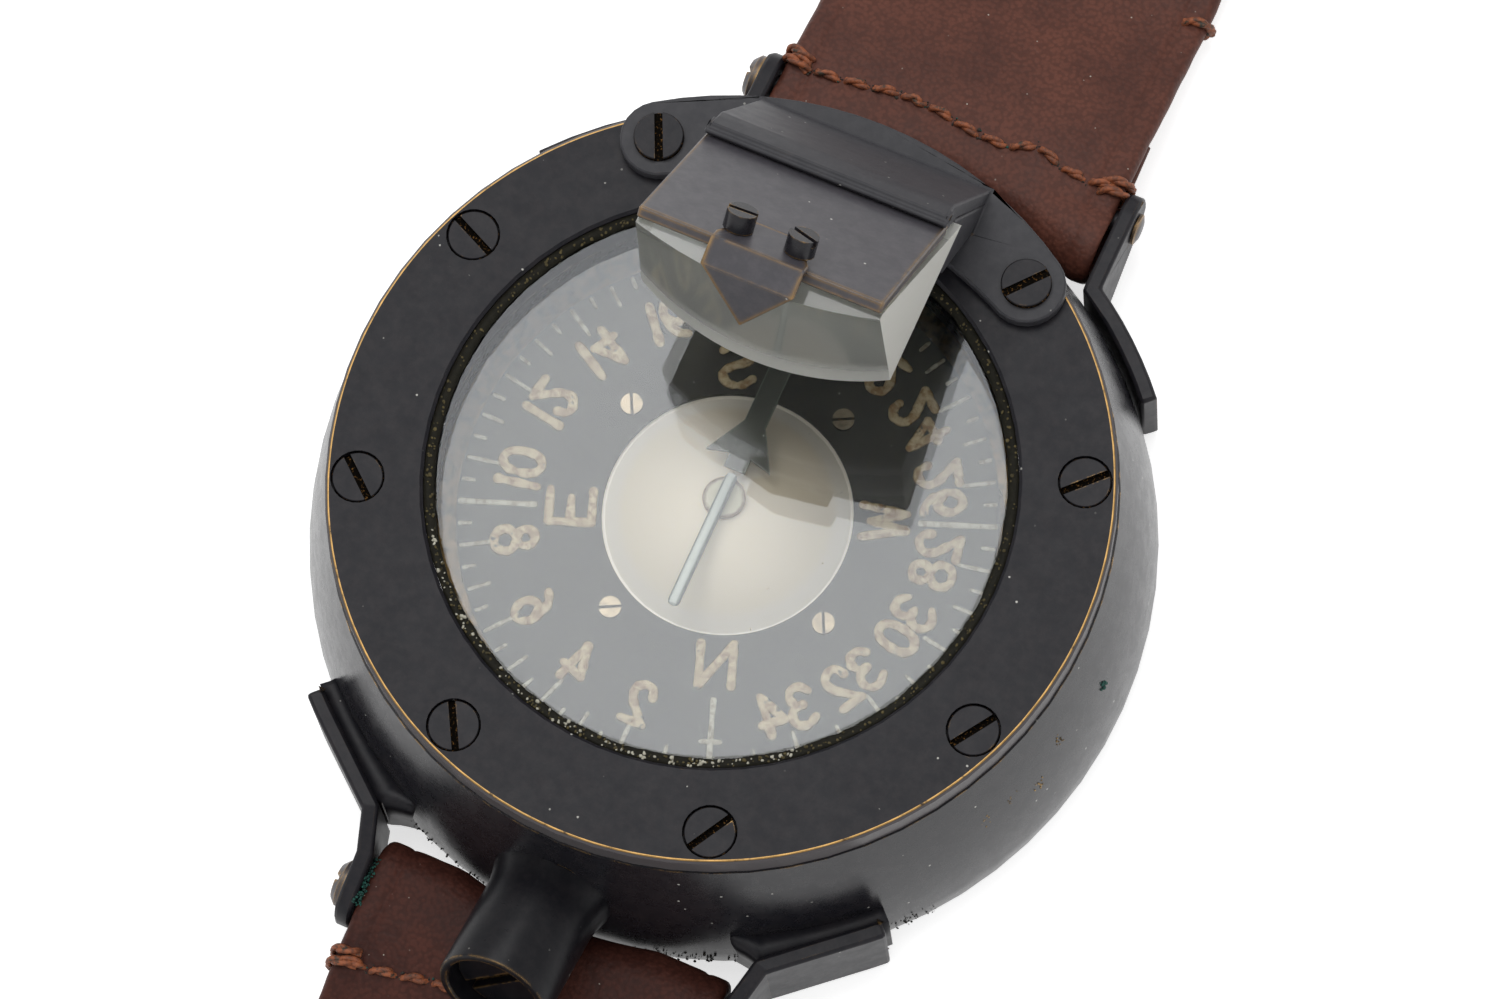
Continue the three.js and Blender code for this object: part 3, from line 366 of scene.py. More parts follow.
def cream_lacquer():
    """Cream on the dome, a little whiter round its foot: a painted highlight along the dome's rim."""
    made = Finish("cream_lacquer")
    # Painted highlight: rim whitens the lacquer low on the dome.
    rim = made.ramp(made.split_places()[2], (CARD_TOP + 0.15) * MM, (CARD_TOP + 1.5) * MM)
    cream = made.mix(made.patches(0.3, 0.8, 6, 3), (0.95, 0.87, 0.73), (0.91, 0.83, 0.69))
    colour = made.mix(rim, (0.96, 0.92, 0.84), cream)
    made.feed(Base_Color=colour, Roughness=0.35, Normal=made.relief(0.01, 0.1, 3))


def cap_finish():
    """Lacquer over a turned cap, browned round its rim."""
    made = Finish("pivot_cap")
    ragged_r = made.maths("ADD", made.axis_distance(), made.times(made.grain(0.7, 4), 0.5 * MM))
    rim = made.ramp(ragged_r, (CAP_R - 0.25) * MM, (CAP_R + 0.12) * MM)
    colour = made.mix(rim, (0.62, 0.60, 0.47), (0.16, 0.09, 0.035))
    made.feed(Base_Color=colour, Roughness=0.4, Normal=made.relief(0.02, 0.3, 0.5, 3))


def lubber_finish():
    made = Finish("lubber_grey")
    grey = made.mix(made.grain(1.5, 4), (0.035, 0.040, 0.034), (0.085, 0.096, 0.085))
    # Painted highlights: the arrow's edges are lighter grey.
    colour = made.mix(made.edge_share(0.25), grey, (0.24, 0.27, 0.25))
    made.feed(Base_Color=colour, Roughness=0.25, Normal=made.relief(0.01, 0.3, 0.4))


def leather_finish(name, deep, light, gloss):
    """Red leather with dark pores, scuffs, raw edges and dust, laid over each other in this order."""
    made = Finish(name)
    pores = made.cells(0.42, "SMOOTH_F1")
    broad = made.grain(7, 5, 0.6)
    height = made.maths("ADD", made.times(pores, -1.0), made.times(made.grain(0.9, 5), 1.6))
    made.feed(
        Base_Color=made.mix(made.ramp(broad, 0.3, 0.7), deep, light), Specular_IOR_Level=gloss,
        Roughness=made.ramp(broad, 0.3, 0.7, 0.5, 0.62), Normal=made.bump(height, 0.09, 0.55))
    raw = made.times(made.edge_share(0.6, 0.04, 0.35), made.patches(0.35, 0.6, 0.5, 5, 0.7))
    made.lay_over(made.times(made.ramp(pores, 0.25, 0.62), 0.4), tuple(channel * 0.4 for channel in deep))
    made.lay_over(made.times(made.patches(0.6, 0.8, 1.6, 6, 0.75), 0.25), (0.20, 0.095, 0.07))
    made.lay_over(made.times(raw, 0.8), (0.28, 0.19, 0.13))
    made.lay_over(made.dust_share(1.6), (0.45, 0.40, 0.34))


def make_bronzed():
    """The bronzed pieces differ in wear, in gloss and in how grey they are."""
    bronzed_finish("bronzed_brass", roughness=0.27, gloss=0.33)
    rim_r = BEZEL_R - BEZEL_CHAMFER
    band = (rim_r - 0.1, rim_r + 0.03, 0.05, 0.32)
    bezel = bronzed_finish("bronzed_bezel", worn=0, roughness=0.34, gloss=0.14, band=band)
    # Painted reflection: a flat grey over the bezel's outer chamfer.
    bezel.lay_over(bezel.radius_band(rim_r + 0.1, BEZEL_R + 1, 0.04, 0.75), (0.10, 0.092, 0.095))
    greys = (0.032, 0.032, 0.037), (0.042, 0.041, 0.046)
    bronzed_finish("bronzed_bracket", worn=0.35, roughness=0.52, gloss=0.32, colours=greys)
    bronzed_finish("bronzed_lug", worn=0.6, roughness=0.4, gloss=0.2)
    pale_greys = (0.050, 0.048, 0.056), (0.070, 0.065, 0.074)
    bronzed_finish("bronzed_worn", worn=1.1, edge=0.95, roughness=0.4, gloss=0.5, colours=pale_greys)
    blacks = (0.006, 0.006, 0.008), (0.012, 0.011, 0.013)
    bronzed_finish("bronzed_boss", worn=0.75, edge=0.5, gloss=0.16, colours=blacks)
    for screw, top in SCREW_TOPS.items():
        dirty_slot(bronzed_finish(screw, worn=0.25, roughness=0.36, gloss=0.16), top)


def make_mottled():
    plain_metal("ground_steel", (0.42, 0.42, 0.43), 0.3)
    dirty_slot(plain_metal("card_screw_metal", (0.31, 0.26, 0.19), 0.4), high("card_screw_1").z)
    card = mottled_finish(
        "card_black", (0.013, 0.013, 0.011), (0.030, 0.030, 0.022), (0.35, 0.75, 1.2, 5, 0.7),
        (0.01, 0.5, 0.15), Roughness=0.75)
    card.lay_over(card.dust_share(1.1, 0.05), (0.3, 0.3, 0.24))
    figure_paint("figure_paint", (0.56, 0.47, 0.29), (0.27, 0.15, 0.055))
    figure_paint("tick_paint", (0.52, 0.52, 0.44), (0.20, 0.16, 0.09))
    mottled_finish(
        "waxed_thread", (0.33, 0.095, 0.034), (0.13, 0.040, 0.018), (0.35, 0.65, 0.6, 4), (0.04, 0.8, 0.1, 2),
        ((0.52, 0.66, 1.1, 4, 0.7), (0.022, 0.020, 0.012)), Roughness=0.6)
    crumb_finish("gold_crumbs", (0.13, 0.10, 0.035), (0.05, 0.04, 0.015))
    crumb_finish("pale_crumbs", (0.62, 0.60, 0.50), (0.40, 0.38, 0.30))
    crumb_finish("dirt_crumbs", DIRT, (0.006, 0.006, 0.006))
    crumb_finish("verdigris_crumbs", VERDIGRIS, (0.008, 0.035, 0.030))


make_bronzed()
make_mottled()
worn_brass_finish()
cover_glass_finish()
prism_finish()
tube_finish()
packing_finish()
cream_lacquer()
cap_finish()
lubber_finish()
leather_finish("red_leather", (0.080, 0.025, 0.016), (0.135, 0.046, 0.030), 0.24)
leather_finish("red_leather_lower", (0.046, 0.014, 0.010), (0.090, 0.029, 0.020), 0.16)

LUGS = [f"lug_{row}_{side}" for row in ("upper", "lower") for side in ("left", "right")]

BRASS_NODES = ("expansion_diaphragm", "pivot_plate", "buckle_frame", "buckle_prong")
WORN_NODES = ("index_clip", "prism_cover_plate", "strap_pin_upper", "strap_pin_lower")
# Nodes that aren't named here are bronzed, or are replaced further on
FINISH_OF = {
    "bezel_ring": "bronzed_bezel", "prism_bracket": "bronzed_bracket", "glass_gasket": "packing",
    "cover_glass": "cover_glass", "card_disc": "card_black", "float_dome": "cream_lacquer",
    "pivot_cap": "pivot_cap", "lubber_arrow": "lubber_grey", "prism": "prism_glass",
    **dict.fromkeys(("magnet_left", "magnet_right", "pivot_post"), "ground_steel"),
    **dict.fromkeys(BRASS_NODES, "worn_brass"),
    **dict.fromkeys(WORN_NODES, "bronzed_worn"),
    **dict.fromkeys([f"card_screw_{number}" for number in (1, 2, 3, 4)], "card_screw_metal"),
    **dict.fromkeys(LUGS, "bronzed_lug"),
}


# Rounded edges and smooth curves on the rigid nodes, by modifiers only


def smooth_group(angle):
    """Geometry nodes that merge shared corners and shade smooth up to an angle."""
    group = bpy.data.node_groups.new("smooth_by_angle", "GeometryNodeTree")
    for way in ("INPUT", "OUTPUT"):
        group.interface.new_socket("Geometry", in_out=way, socket_type="NodeSocketGeometry")
    nodes = Nodes(group)
    start = nodes.add("NodeGroupInput").outputs[0]
    merged = nodes.add("GeometryNodeMergeByDistance", {"Geometry": start, "Distance": 0.002 * MM})
    inputs = {"Geometry": merged.outputs[0], "Shade Smooth": True}
    all_smooth = nodes.add("GeometryNodeSetShadeSmooth", inputs)
    inputs = {0: nodes.add("GeometryNodeInputMeshEdgeAngle").outputs["Unsigned Angle"], 1: angle}
    flat_enough = nodes.add("FunctionNodeCompare", inputs, data_type="FLOAT", operation="LESS_THAN")
    inputs = {"Geometry": all_smooth.outputs[0], "Shade Smooth": flat_enough.outputs[0]}
    edges = nodes.add("GeometryNodeSetShadeSmooth", inputs, domain="EDGE")
    nodes.add("NodeGroupOutput", {0: edges.outputs[0]})
    return group


SMOOTH_BELOW = 32
ROUNDED_FROM = 40
SMOOTH = smooth_group(math.radians(SMOOTH_BELOW))
ROUNDING = {"prism_bracket": 0.22, "prism_cover_plate": 0.18, "index_clip": 0.15, **dict.fromkeys(LUGS, 0.35)}


def dress_node(name, thing):
    thing.data.materials.clear()
    thing.data.materials.append(FINISHES[FINISH_OF.get(name, "bronzed_brass")])
    smooth = thing.modifiers.new("smooth", "NODES")
    smooth.node_group = SMOOTH
    if name in ROUNDING:
        rounding = thing.modifiers.new("rounding", "BEVEL")
        rounding.width = ROUNDING[name] * MM
        rounding.segments = 2
        rounding.limit_method = "ANGLE"
        rounding.angle_limit = math.radians(ROUNDED_FROM)
        rounding.use_clamp_overlap = False
    weighted = thing.modifiers.new("weighted", "WEIGHTED_NORMAL")
    weighted.keep_sharp = True


for node_name, node_object in NODES.items():
    dress_node(node_name, node_object)


# Mesh helpers


def shape_object(name, shape):
    mesh = bpy.data.meshes.new(name)
    shape.to_mesh(mesh)
    shape.free()
    return new_object(name, mesh)


def mesh_piece(name, shape, finish, body):
    bmesh.ops.recalc_face_normals(shape, faces=shape.faces)
    thing = shape_object(name, shape)
    thing.data.polygons.foreach_set("use_smooth", [True] * len(thing.data.polygons))
    thing.data.materials.append(FINISHES[finish])
    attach(thing, body)
    return thing


def bridge(shape, rings, closed=False):
    """Faces between rings of points that have the same count, with flat ends unless the row is closed."""
    corners = [[shape.verts.new(Vector(p) * MM) for p in ring] for ring in rings]
    count = len(corners[0])
    for first, second in zip(corners, corners[1:] + (corners[:1] if closed else [])):
        for i in range(count):
            j = (i + 1) % count
            shape.faces.new((first[i], first[j], second[j], second[i]))
    if not closed:
        shape.faces.new(corners[0][::-1])
        shape.faces.new(corners[-1])


def turns(count):
    """Angles that share out a full turn."""
    return [2 * math.pi * k / count for k in range(count)]


def polar(r, turn, z):
    return Vector((r * math.cos(turn), r * math.sin(turn), z))


def rectangle(left, near, right, far):
    return (left, near), (right, near), (right, far), (left, far)


def beside(line, i):
    """The points before and after one point of a line; at its ends, the point itself is one of them."""
    return line[max(i - 1, 0)], line[min(i + 1, len(line) - 1)]


def smooth_line(points, steps, closed=False):
    """Catmull-Rom curve through the points."""
    count = len(points)
    found = []
    for i in range(count if closed else count - 1):
        near = [points[k % count if closed else min(max(k, 0), count - 1)] for k in range(i - 1, i + 3)]
        for step in range(steps):
            t = step / steps
            found.append(tuple(
                0.5 * (2 * b + (c - a) * t + (2 * a - 5 * b + 4 * c - d) * t * t
                       + (3 * b - a - 3 * c + d) * t ** 3)
                for a, b, c, d in zip(*near)))
    if not closed:
        found.append(tuple(points[-1]))
    return found


CRUMB_UNEVEN = 0.35


def crumb(shape, centre, size):
    made = bmesh.ops.create_icosphere(shape, subdivisions=1, radius=size * MM)
    squash_by = [dice.uniform(0.6, 1.2) for _ in range(3)]
    for vert in made["verts"]:
        jitter = 1 + CRUMB_UNEVEN * noise.noise(vert.co / (size * MM) * 1.3 + centre)
        vert.co = Vector([c * s * jitter for c, s in zip(vert.co, squash_by)]) + centre * MM


def crumbs_piece(name, spots, finish, body="case"):
    """Crumbs at (place, size) spots, which are drawn one by one."""
    shape = bmesh.new()
    for centre, size in spots:
        crumb(shape, centre, size)
    mesh_piece(name, shape, finish, body)


def tube(shape, path, radius, sides):
    """A round tube along a path of points, with flat ends."""
    rings = []
    side = None
    for i, point in enumerate(path):
        before, after = beside(path, i)
        along = (after - before).normalized()
        if side is None:
            side = along.orthogonal().normalized()
        side = (side - along * side.dot(along)).normalized()
        up = along.cross(side)
        rings.append([point + (side * math.cos(a) + up * math.sin(a)) * radius for a in turns(sides)])
    bridge(shape, rings)


def cut_away(thing, cutters):
    """Cuts closed shapes out of a piece and leaves plain mesh behind."""
    for cutter in cutters:
        cutter.hide_render = True
        tool = thing.modifiers.new("cut", "BOOLEAN")
        tool.object = cutter
        tool.solver = "EXACT"
    bpy.context.view_layer.update()
    graph = bpy.context.evaluated_depsgraph_get()
    result = bpy.data.meshes.new_from_object(thing.evaluated_get(graph))
    thing.modifiers.clear()
    thing.data = result
    for cutter in cutters:
        bpy.data.objects.remove(cutter)


def cutter_prism(corners, bottom, top):
    shape = bmesh.new()
    bridge(shape, [[Vector((x, y, z)) for x, y in corners] for z in (bottom, top)])
    bmesh.ops.recalc_face_normals(shape, faces=shape.faces)
    return shape_object("cutter", shape)


# Turned pieces that take the place of plain nodes


def turned_piece(name, profile, finish, place=None, screw_slot=None, sides=48):
    """A piece turned about Z from (radius, height) points, slotted if asked, then set in its place."""
    shape = bmesh.new()
    bridge(shape, [[polar(r, a, h) for a in turns(sides)] for r, h in profile])
    thing = mesh_piece(name, shape, finish, "case")
    if screw_slot:
        wide, deep, degrees = screw_slot
        top = profile[-1][1]
        half_long = max(r for r, _ in profile) * 1.3
        turn = Matrix.Rotation(math.radians(degrees), 2)
        corners = [turn @ Vector(corner) for corner in rectangle(-half_long, -wide / 2, half_long, wide / 2)]
        cut_away(thing, [cutter_prism(corners, top - deep, top + 1)])
    if place is not None:
        thing.data.transform(place)
    thing.modifiers.new("smooth", "NODES").node_group = SMOOTH
    return thing


def shifted(x, y, z):
    return Matrix.Translation(Vector((x, y, z)) * MM)


def replace_screw(node, finish, head_thick, shank_r, slot_size, degrees):
    first, last = low(node), high(node)
    head_r = (last.x - first.x) / 2
    edge = 0.12
    profile = [(shank_r, first.z), (shank_r, last.z - head_thick), (head_r, last.z - head_thick),
               (head_r, last.z - edge), (head_r - edge, last.z)]
    place = shifted((first.x + last.x) / 2, (first.y + last.y) / 2, 0)
    screw = turned_piece(node + "_turned", profile, finish, place, (*slot_size, degrees))
    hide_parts(node)


BEZEL_SLOTS = (45, 56, 60, 119, 140, 155)
BRACKET_SLOTS = {"left": 115, "right": 49}
BEZEL_HEAD, BRACKET_HEAD, SHANK_R = 1.3, 0.6, 1.3
BEZEL_CUT, BRACKET_CUT = (0.7, 0.6), (0.8, 0.4)
for number, slot_turn in enumerate(BEZEL_SLOTS, 1):
    replace_screw(f"bezel_screw_{number}", "screw_bezel_screw", BEZEL_HEAD, SHANK_R, BEZEL_CUT, slot_turn)
for side_name, slot_turn in BRACKET_SLOTS.items():
    node_name = f"bracket_screw_{side_name}"
    replace_screw(node_name, "screw_bracket_screw", BRACKET_HEAD, SHANK_R, BRACKET_CUT, slot_turn)


def make_lubber_tube():
    """The glass rod, thicker than the node and rounded at both ends."""
    first, last = low("lubber_tube"), high("lubber_tube")
    long = last.y - first.y
    profile = [(TUBE_R * 0.3, 0), (TUBE_R * 0.8, 0.15), (TUBE_R, 0.5), (TUBE_R, long - 0.5),
               (TUBE_R * 0.8, long - 0.15), (TUBE_R * 0.3, long)]
    place = shifted(TUBE_X, last.y, (first.z + last.z) / 2) @ Matrix.Rotation(math.pi / 2, 4, "X")
    rod = turned_piece("lubber_rod", profile, "lubber_glass", place, sides=24)
    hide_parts("lubber_tube")


make_lubber_tube()


# Filler boss: it leans up from the wall, with its plug set back in the mouth

BOSS_TILT = 21
BOSS_R, BOSS_LONG, BOSS_WALL, BOSS_SOCKET = 5.6, 12.3, 0.9, 6.0
BOSS_FLARE, BOSS_FLARE_LONG, BOSS_FLARE_IN, BOSS_ROOT_IN = 0.55, 3.4, 1.4, 3.2
BOSS_AT = (-0.5, -CASE_R, 12.6)
PLUG_HEAD, WASHER_THICK = 3.0, 1.0
PLUG_SLOT = (1.1, 1.1, 45)


def make_boss():
    place = shifted(*BOSS_AT) @ Matrix.Rotation(math.radians(90 - BOSS_TILT), 4, "X")
    flare = []
    for k in range(9):
        r = BOSS_R + BOSS_FLARE * (1 - math.sin(math.pi / 2 * k / 8))
        flare.append((r, BOSS_FLARE_LONG * k / 8 - BOSS_FLARE_IN))
    mouth_r = BOSS_R - BOSS_WALL
    floor = BOSS_LONG - BOSS_SOCKET
    profile = [
        (BOSS_R + BOSS_FLARE, -BOSS_ROOT_IN), *flare, (BOSS_R, BOSS_LONG - 0.3),
        (BOSS_R - 0.1, BOSS_LONG - 0.08), (BOSS_R - 0.3, BOSS_LONG), (mouth_r + 0.15, BOSS_LONG),
        (mouth_r, BOSS_LONG - 0.2), (mouth_r, floor)]
    boss = turned_piece("boss", profile, "bronzed_boss", place, sides=64)
    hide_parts("filler_boss")
    plug_r = mouth_r - 0.06
    head_low = floor + WASHER_THICK
    plug_top = head_low + PLUG_HEAD
    plug_profile = [(plug_r, head_low), (plug_r, plug_top - 0.2), (plug_r - 0.2, plug_top)]
    plug = turned_piece("plug", plug_profile, "bronzed_boss", place, PLUG_SLOT, sides=64)
    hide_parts("filler_plug")
    washer_profile = [(plug_r, floor + 0.02), (plug_r, head_low - 0.02)]
    washer = turned_piece("washer", washer_profile, "red_leather", place)
    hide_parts("filler_washer")


make_boss()


# Dial: figures of raised paint. They are reversed, so that they read right in the prism.

FIGURES = {
    "0": [("ring", [(0.5, 1), (0.88, 0.86), (1, 0.5), (0.88, 0.14), (0.5, 0), (0.12, 0.14), (0, 0.5),
                    (0.12, 0.86)])],
    "1": [("line", [(0.5, 0), (0.5, 1)])],
    "2": [("bow", [(0.05, 0.74), (0.2, 0.95), (0.55, 1), (0.92, 0.84), (0.86, 0.56), (0.5, 0.3), (0.04, 0)]),
          ("line", [(0.04, 0), (1, 0)])],
    "3": [("bow", [(0.05, 0.86), (0.35, 1), (0.75, 0.97), (0.9, 0.77), (0.72, 0.57), (0.42, 0.53)]),
          ("bow", [(0.42, 0.53), (0.85, 0.46), (1, 0.24), (0.8, 0.04), (0.4, 0), (0.02, 0.14)])],
    "4": [("line", [(0.74, 0), (0.74, 1), (0, 0.3), (1, 0.3)])],
    "6": [("bow", [(0.82, 0.97), (0.4, 0.85), (0.08, 0.5), (0.06, 0.2), (0.32, 0), (0.7, 0), (0.96, 0.24),
                   (0.84, 0.5), (0.5, 0.6), (0.12, 0.42)])],
    "8": [("ring", [(0.5, 1), (0.84, 0.9), (0.84, 0.66), (0.5, 0.54), (0.16, 0.66), (0.16, 0.9)]),
          ("ring", [(0.5, 0.54), (0.94, 0.4), (1, 0.18), (0.74, 0), (0.26, 0), (0, 0.18), (0.06, 0.4)])],
    "N": [("line", [(0, 0), (0, 1), (1, 0), (1, 1)])],
    "E": [("line", [(1, 0), (0, 0), (0, 1), (1, 1)]), ("line", [(0, 0.5), (0.75, 0.5)])],
    "S": [("bow", [(0.95, 0.84), (0.6, 1), (0.2, 0.95), (0.05, 0.72), (0.3, 0.55), (0.75, 0.42), (0.95, 0.22),
                   (0.7, 0.02), (0.3, 0), (0.02, 0.15)])],
    "W": [("line", [(0, 1), (0.24, 0), (0.5, 0.8), (0.76, 0), (1, 1)])],
}
NORTH_CLOCK = 160
FIGURE_R, FIGURE_TALL, FIGURE_WIDE = 20.8, 3.9, 2.2
LETTER_R, LETTER_TALL, LETTER_WIDE = 15.3, 4.2, 3.2
PAINT_WIDE = 0.95
PAINT_HIGH = 0.12


def on_card(clock, r, across=0.0):
    """A point on the card: clock angle, radius, and a distance along the clockwise tangent."""
    turn = math.radians(clock)
    out = Vector((math.sin(turn), math.cos(turn), 0))
    tangent = Vector((math.cos(turn), -math.sin(turn), 0))
    return out * r + tangent * across + Vector((0, 0, CARD_TOP))


def paint_stroke(shape, line, wide, tall, closed=False):
    """A low rounded ridge of paint along a line of points on the card."""
    points = [Vector(p) for p in line]
    count = len(points)
    up = Vector((0, 0, 1))
    shares = ((-0.5, 0), (-0.38, 0.7), (0, 1), (0.38, 0.7), (0.5, 0))
    rings = []
    for i, point in enumerate(points):
        before, after = (points[i - 1], points[(i + 1) % count]) if closed else beside(points, i)
        side = (after - before).normalized().cross(up)
        ragged = wide * (1 + 0.25 * noise.noise(point * 1.7) + 0.2 * noise.noise(point * 5))
        rings.append([point + side * ragged * a + up * tall * b for a, b in shares])
    if not closed:
        for end, step, last in ((0, 1, rings[0]), (-1, -2, rings[-1])):
            tip = points[end]
            along = (tip - points[step]).normalized()
            caps = [[tip + along * wide * 0.5 * lead + (p - tip) * keep for p in last]
                    for lead, keep in ((0.6, 0.8), (1.0, 0.35))]
            rings = [*rings, *caps] if end else [*caps[::-1], *rings]
    bridge(shape, rings, closed)


def figure_lines(mark):
    """The strokes of a figure, each as (points, closed)."""
    steps = 6
    for kind, points in FIGURES[mark]:
        if kind != "line":
            yield smooth_line(points, 4, kind == "ring"), kind == "ring"
            continue
        for (x0, y0), (x1, y1) in zip(points, points[1:]):
            yield [(x0 + (x1 - x0) * k / steps, y0 + (y1 - y0) * k / steps) for k in range(steps + 1)], False


def paint_word(shape, word, clock, r, tall, wide):
    """Marks side by side, clockwise, with their tops to the centre."""
    widths = [wide * (0.25 if mark == "1" else 1) for mark in word]
    space = wide * 0.36
    left = -(sum(widths) + space * (len(word) - 1)) / 2
    for mark, mark_wide in zip(word, widths):
        for line, closed in figure_lines(mark):
            placed = [on_card(clock, r - (b - 0.5) * tall, left + a * mark_wide) for a, b in line]
            paint_stroke(shape, placed, PAINT_WIDE, PAINT_HIGH, closed)
        left += mark_wide + space


def dial_words(name, words, r, tall, wide):
    """One piece of paint from (degrees from north, word) pairs."""
    shape = bmesh.new()
    for degrees, word in words:
        paint_word(shape, word, NORTH_CLOCK + degrees, r, tall, wide)
    mesh_piece(name, shape, "figure_paint", "card")


def dial_ticks():
    """Ticks every five degrees: the first kind that fits gives the inner radius and the width."""
    shape = bmesh.new()
    outer = CARD_R - 0.4
    kinds = ((90, FIGURE_R - FIGURE_TALL / 2, 0.62), (20, outer - 3.0, 0.45), (10, outer - 2.0, 0.4),
             (5, outer - 1.0, 0.42))
    for degrees in range(0, 360, 5):
        inner, wide = next(kind[1:] for kind in kinds if degrees % kind[0] == 0)
        line = [on_card(NORTH_CLOCK + degrees, inner + (outer - inner) * k / 4) for k in range(5)]
        paint_stroke(shape, line, wide, PAINT_HIGH / 2)
    cross_r = FIGURE_R + FIGURE_TALL / 2 + 0.3
    paint_stroke(shape, [on_card(NORTH_CLOCK, cross_r, 0.45 * k) for k in range(-2, 3)], 0.55, PAINT_HIGH / 2)
    mesh_piece("dial_ticks", shape, "tick_paint", "card")


tens = [(ten * 10, str(ten)) for ten in range(2, 36, 2)]
quarters = [(quarter * 90, mark) for quarter, mark in enumerate("NESW")]
dial_words("dial_figures", tens, FIGURE_R, FIGURE_TALL, FIGURE_WIDE)
dial_words("dial_letters", quarters, LETTER_R, LETTER_TALL, LETTER_WIDE)
dial_ticks()


# Old sealing compound: a ragged bead over the bevel of the glass, inside the bezel

BEZEL_IN = 28.6
BEAD_IN = 27.55


def sealing_bead():
    rings = []
    for turn in turns(240):
        at = Vector((math.sin(turn), math.cos(turn), 0))
        wander = noise.noise(at * 9) * 0.18 + noise.noise(at * 40) * 0.09
        inner = BEAD_IN + wander
        top = GLASS_TOP + 0.06 + 0.05 * noise.noise(at * 25)
        profile = (
            (BEZEL_IN, GLASS_TOP - 0.62), (BEZEL_IN - 0.35, GLASS_TOP - 0.62),
            (BEZEL_IN - 0.38, GLASS_TOP - 0.4), (inner - 0.02, GLASS_TOP - 0.25), (inner + 0.08, top - 0.15),
            (inner + 0.4, top + wander * 0.3), (BEZEL_IN, GLASS_TOP + 0.2))
        rings.append([at * r + Vector((0, 0, z)) for r, z in profile])
    bead = bmesh.new()
    bridge(bead, rings, closed=True)
    mesh_piece("sealing_bead", bead, "packing", "case")


def bead_spots(count, start, end, size):
    for _ in range(count):
        turn = math.radians(dice.uniform(start, end))
        r = dice.uniform(BEAD_IN + 0.2, BEZEL_IN - 0.1)
        yield polar(r, turn, GLASS_TOP + dice.uniform(0.06, 0.16)), size * dice.uniform(0.5, 1.4)


# Bits of old compound lie on the bead, and pale dust along its six o'clock side
sealing_bead()
crumbs_piece("bead_gold", bead_spots(420, -180, 180, 0.15), "gold_crumbs", "case")
crumbs_piece("bead_pale", bead_spots(110, -150, -50, 0.17), "pale_crumbs", "case")


# Leather: bands swept along their run, with a rounded edge all round

STRAP_WIDE = 36.5
STRAP_THICK = 2.3
STRAP_RUN = 26
FLAP_LONG = 9
PIN_HOLE_R = 1.2
EDGE_SHARES = ((0.0, 1.0), (0.38, 0.92), (0.75, 0.66), (0.95, 0.3), (1.0, 0.0))
CREASE_IN = 2.6
CREASE_DEEP = 0.16
CREASE_WIDE = 0.35
FOLD_GAP = 0.3
NOTCH_HALF, NOTCH_NEAR, NOTCH_FAR = 2.5, 6.4, 5.3


def band_outline(half_wide, half_thick, spacing=0.9):
    """Cross-section of a leather band, as (across, out) points in order round it."""
    reach = min(half_thick * 0.75, half_wide * 0.5)
    flat = half_wide - reach
    count = max(2, int(2 * flat / spacing))
    marks = {round(-flat + 2 * flat * k / count, 4) for k in range(count + 1)}
    if half_wide > CREASE_IN * 3:
        crease = half_wide - CREASE_IN
        marks |= {round(side * (crease + step), 4) for side in (-1, 1) for step in (-0.4, -0.2, 0, 0.2, 0.4)}
    top = [(a, half_thick) for a in sorted(marks)]
    right = [(flat + reach * s, half_thick * t) for s, t in EDGE_SHARES[1:]]
    right += [(a, -b) for a, b in right[-2::-1]]
    bottom = [(a, -b) for a, b in top[::-1]]
    left = [(-a, -b) for a, b in right]
    return top + right + bottom + left


def band_ring(outline, widest, thickest, station):
    """One ring of a band, pressed by the crease lines and made slightly uneven."""
    centre, across, out, half_wide, half_thick = station
    ring = []
    for a, o in outline:
        press = 0
        if o > 0 and half_wide > CREASE_IN * 3:
            edge_gap = abs(abs(a) - (widest - CREASE_IN))
            press = CREASE_DEEP * math.exp(-((edge_gap / CREASE_WIDE) ** 2))
        point = centre + across * a * (half_wide / widest) + out * (o * (half_thick / thickest) - press)
        wave = 0.1 * noise.noise(point * 0.11) + 0.035 * noise.noise(point * 0.7)
        side = 0.14 * noise.noise(centre * 0.35) if abs(a) > half_wide * 0.9 else 0
        ring.append(point + out * wave + across * side * (1 if a > 0 else -1))
    return ring


def band(name, stations, finish, body, closed=False, bulge=None):
    """stations: centre, across, out, half width, half thickness."""
    widest, thickest = (max(station[i] for station in stations) for i in (3, 4))
    outline = band_outline(widest, thickest)
    rings = [band_ring(outline, widest, thickest, station) for station in stations]
    if bulge:
        rings = [[bulge(point) for point in ring] for ring in rings]
    shape = bmesh.new()
    bridge(shape, rings, closed)
    return mesh_piece(name, shape, finish, body)


def ease(share):
    share = min(max(share, 0), 1)
    return share * share * (3 - 2 * share)


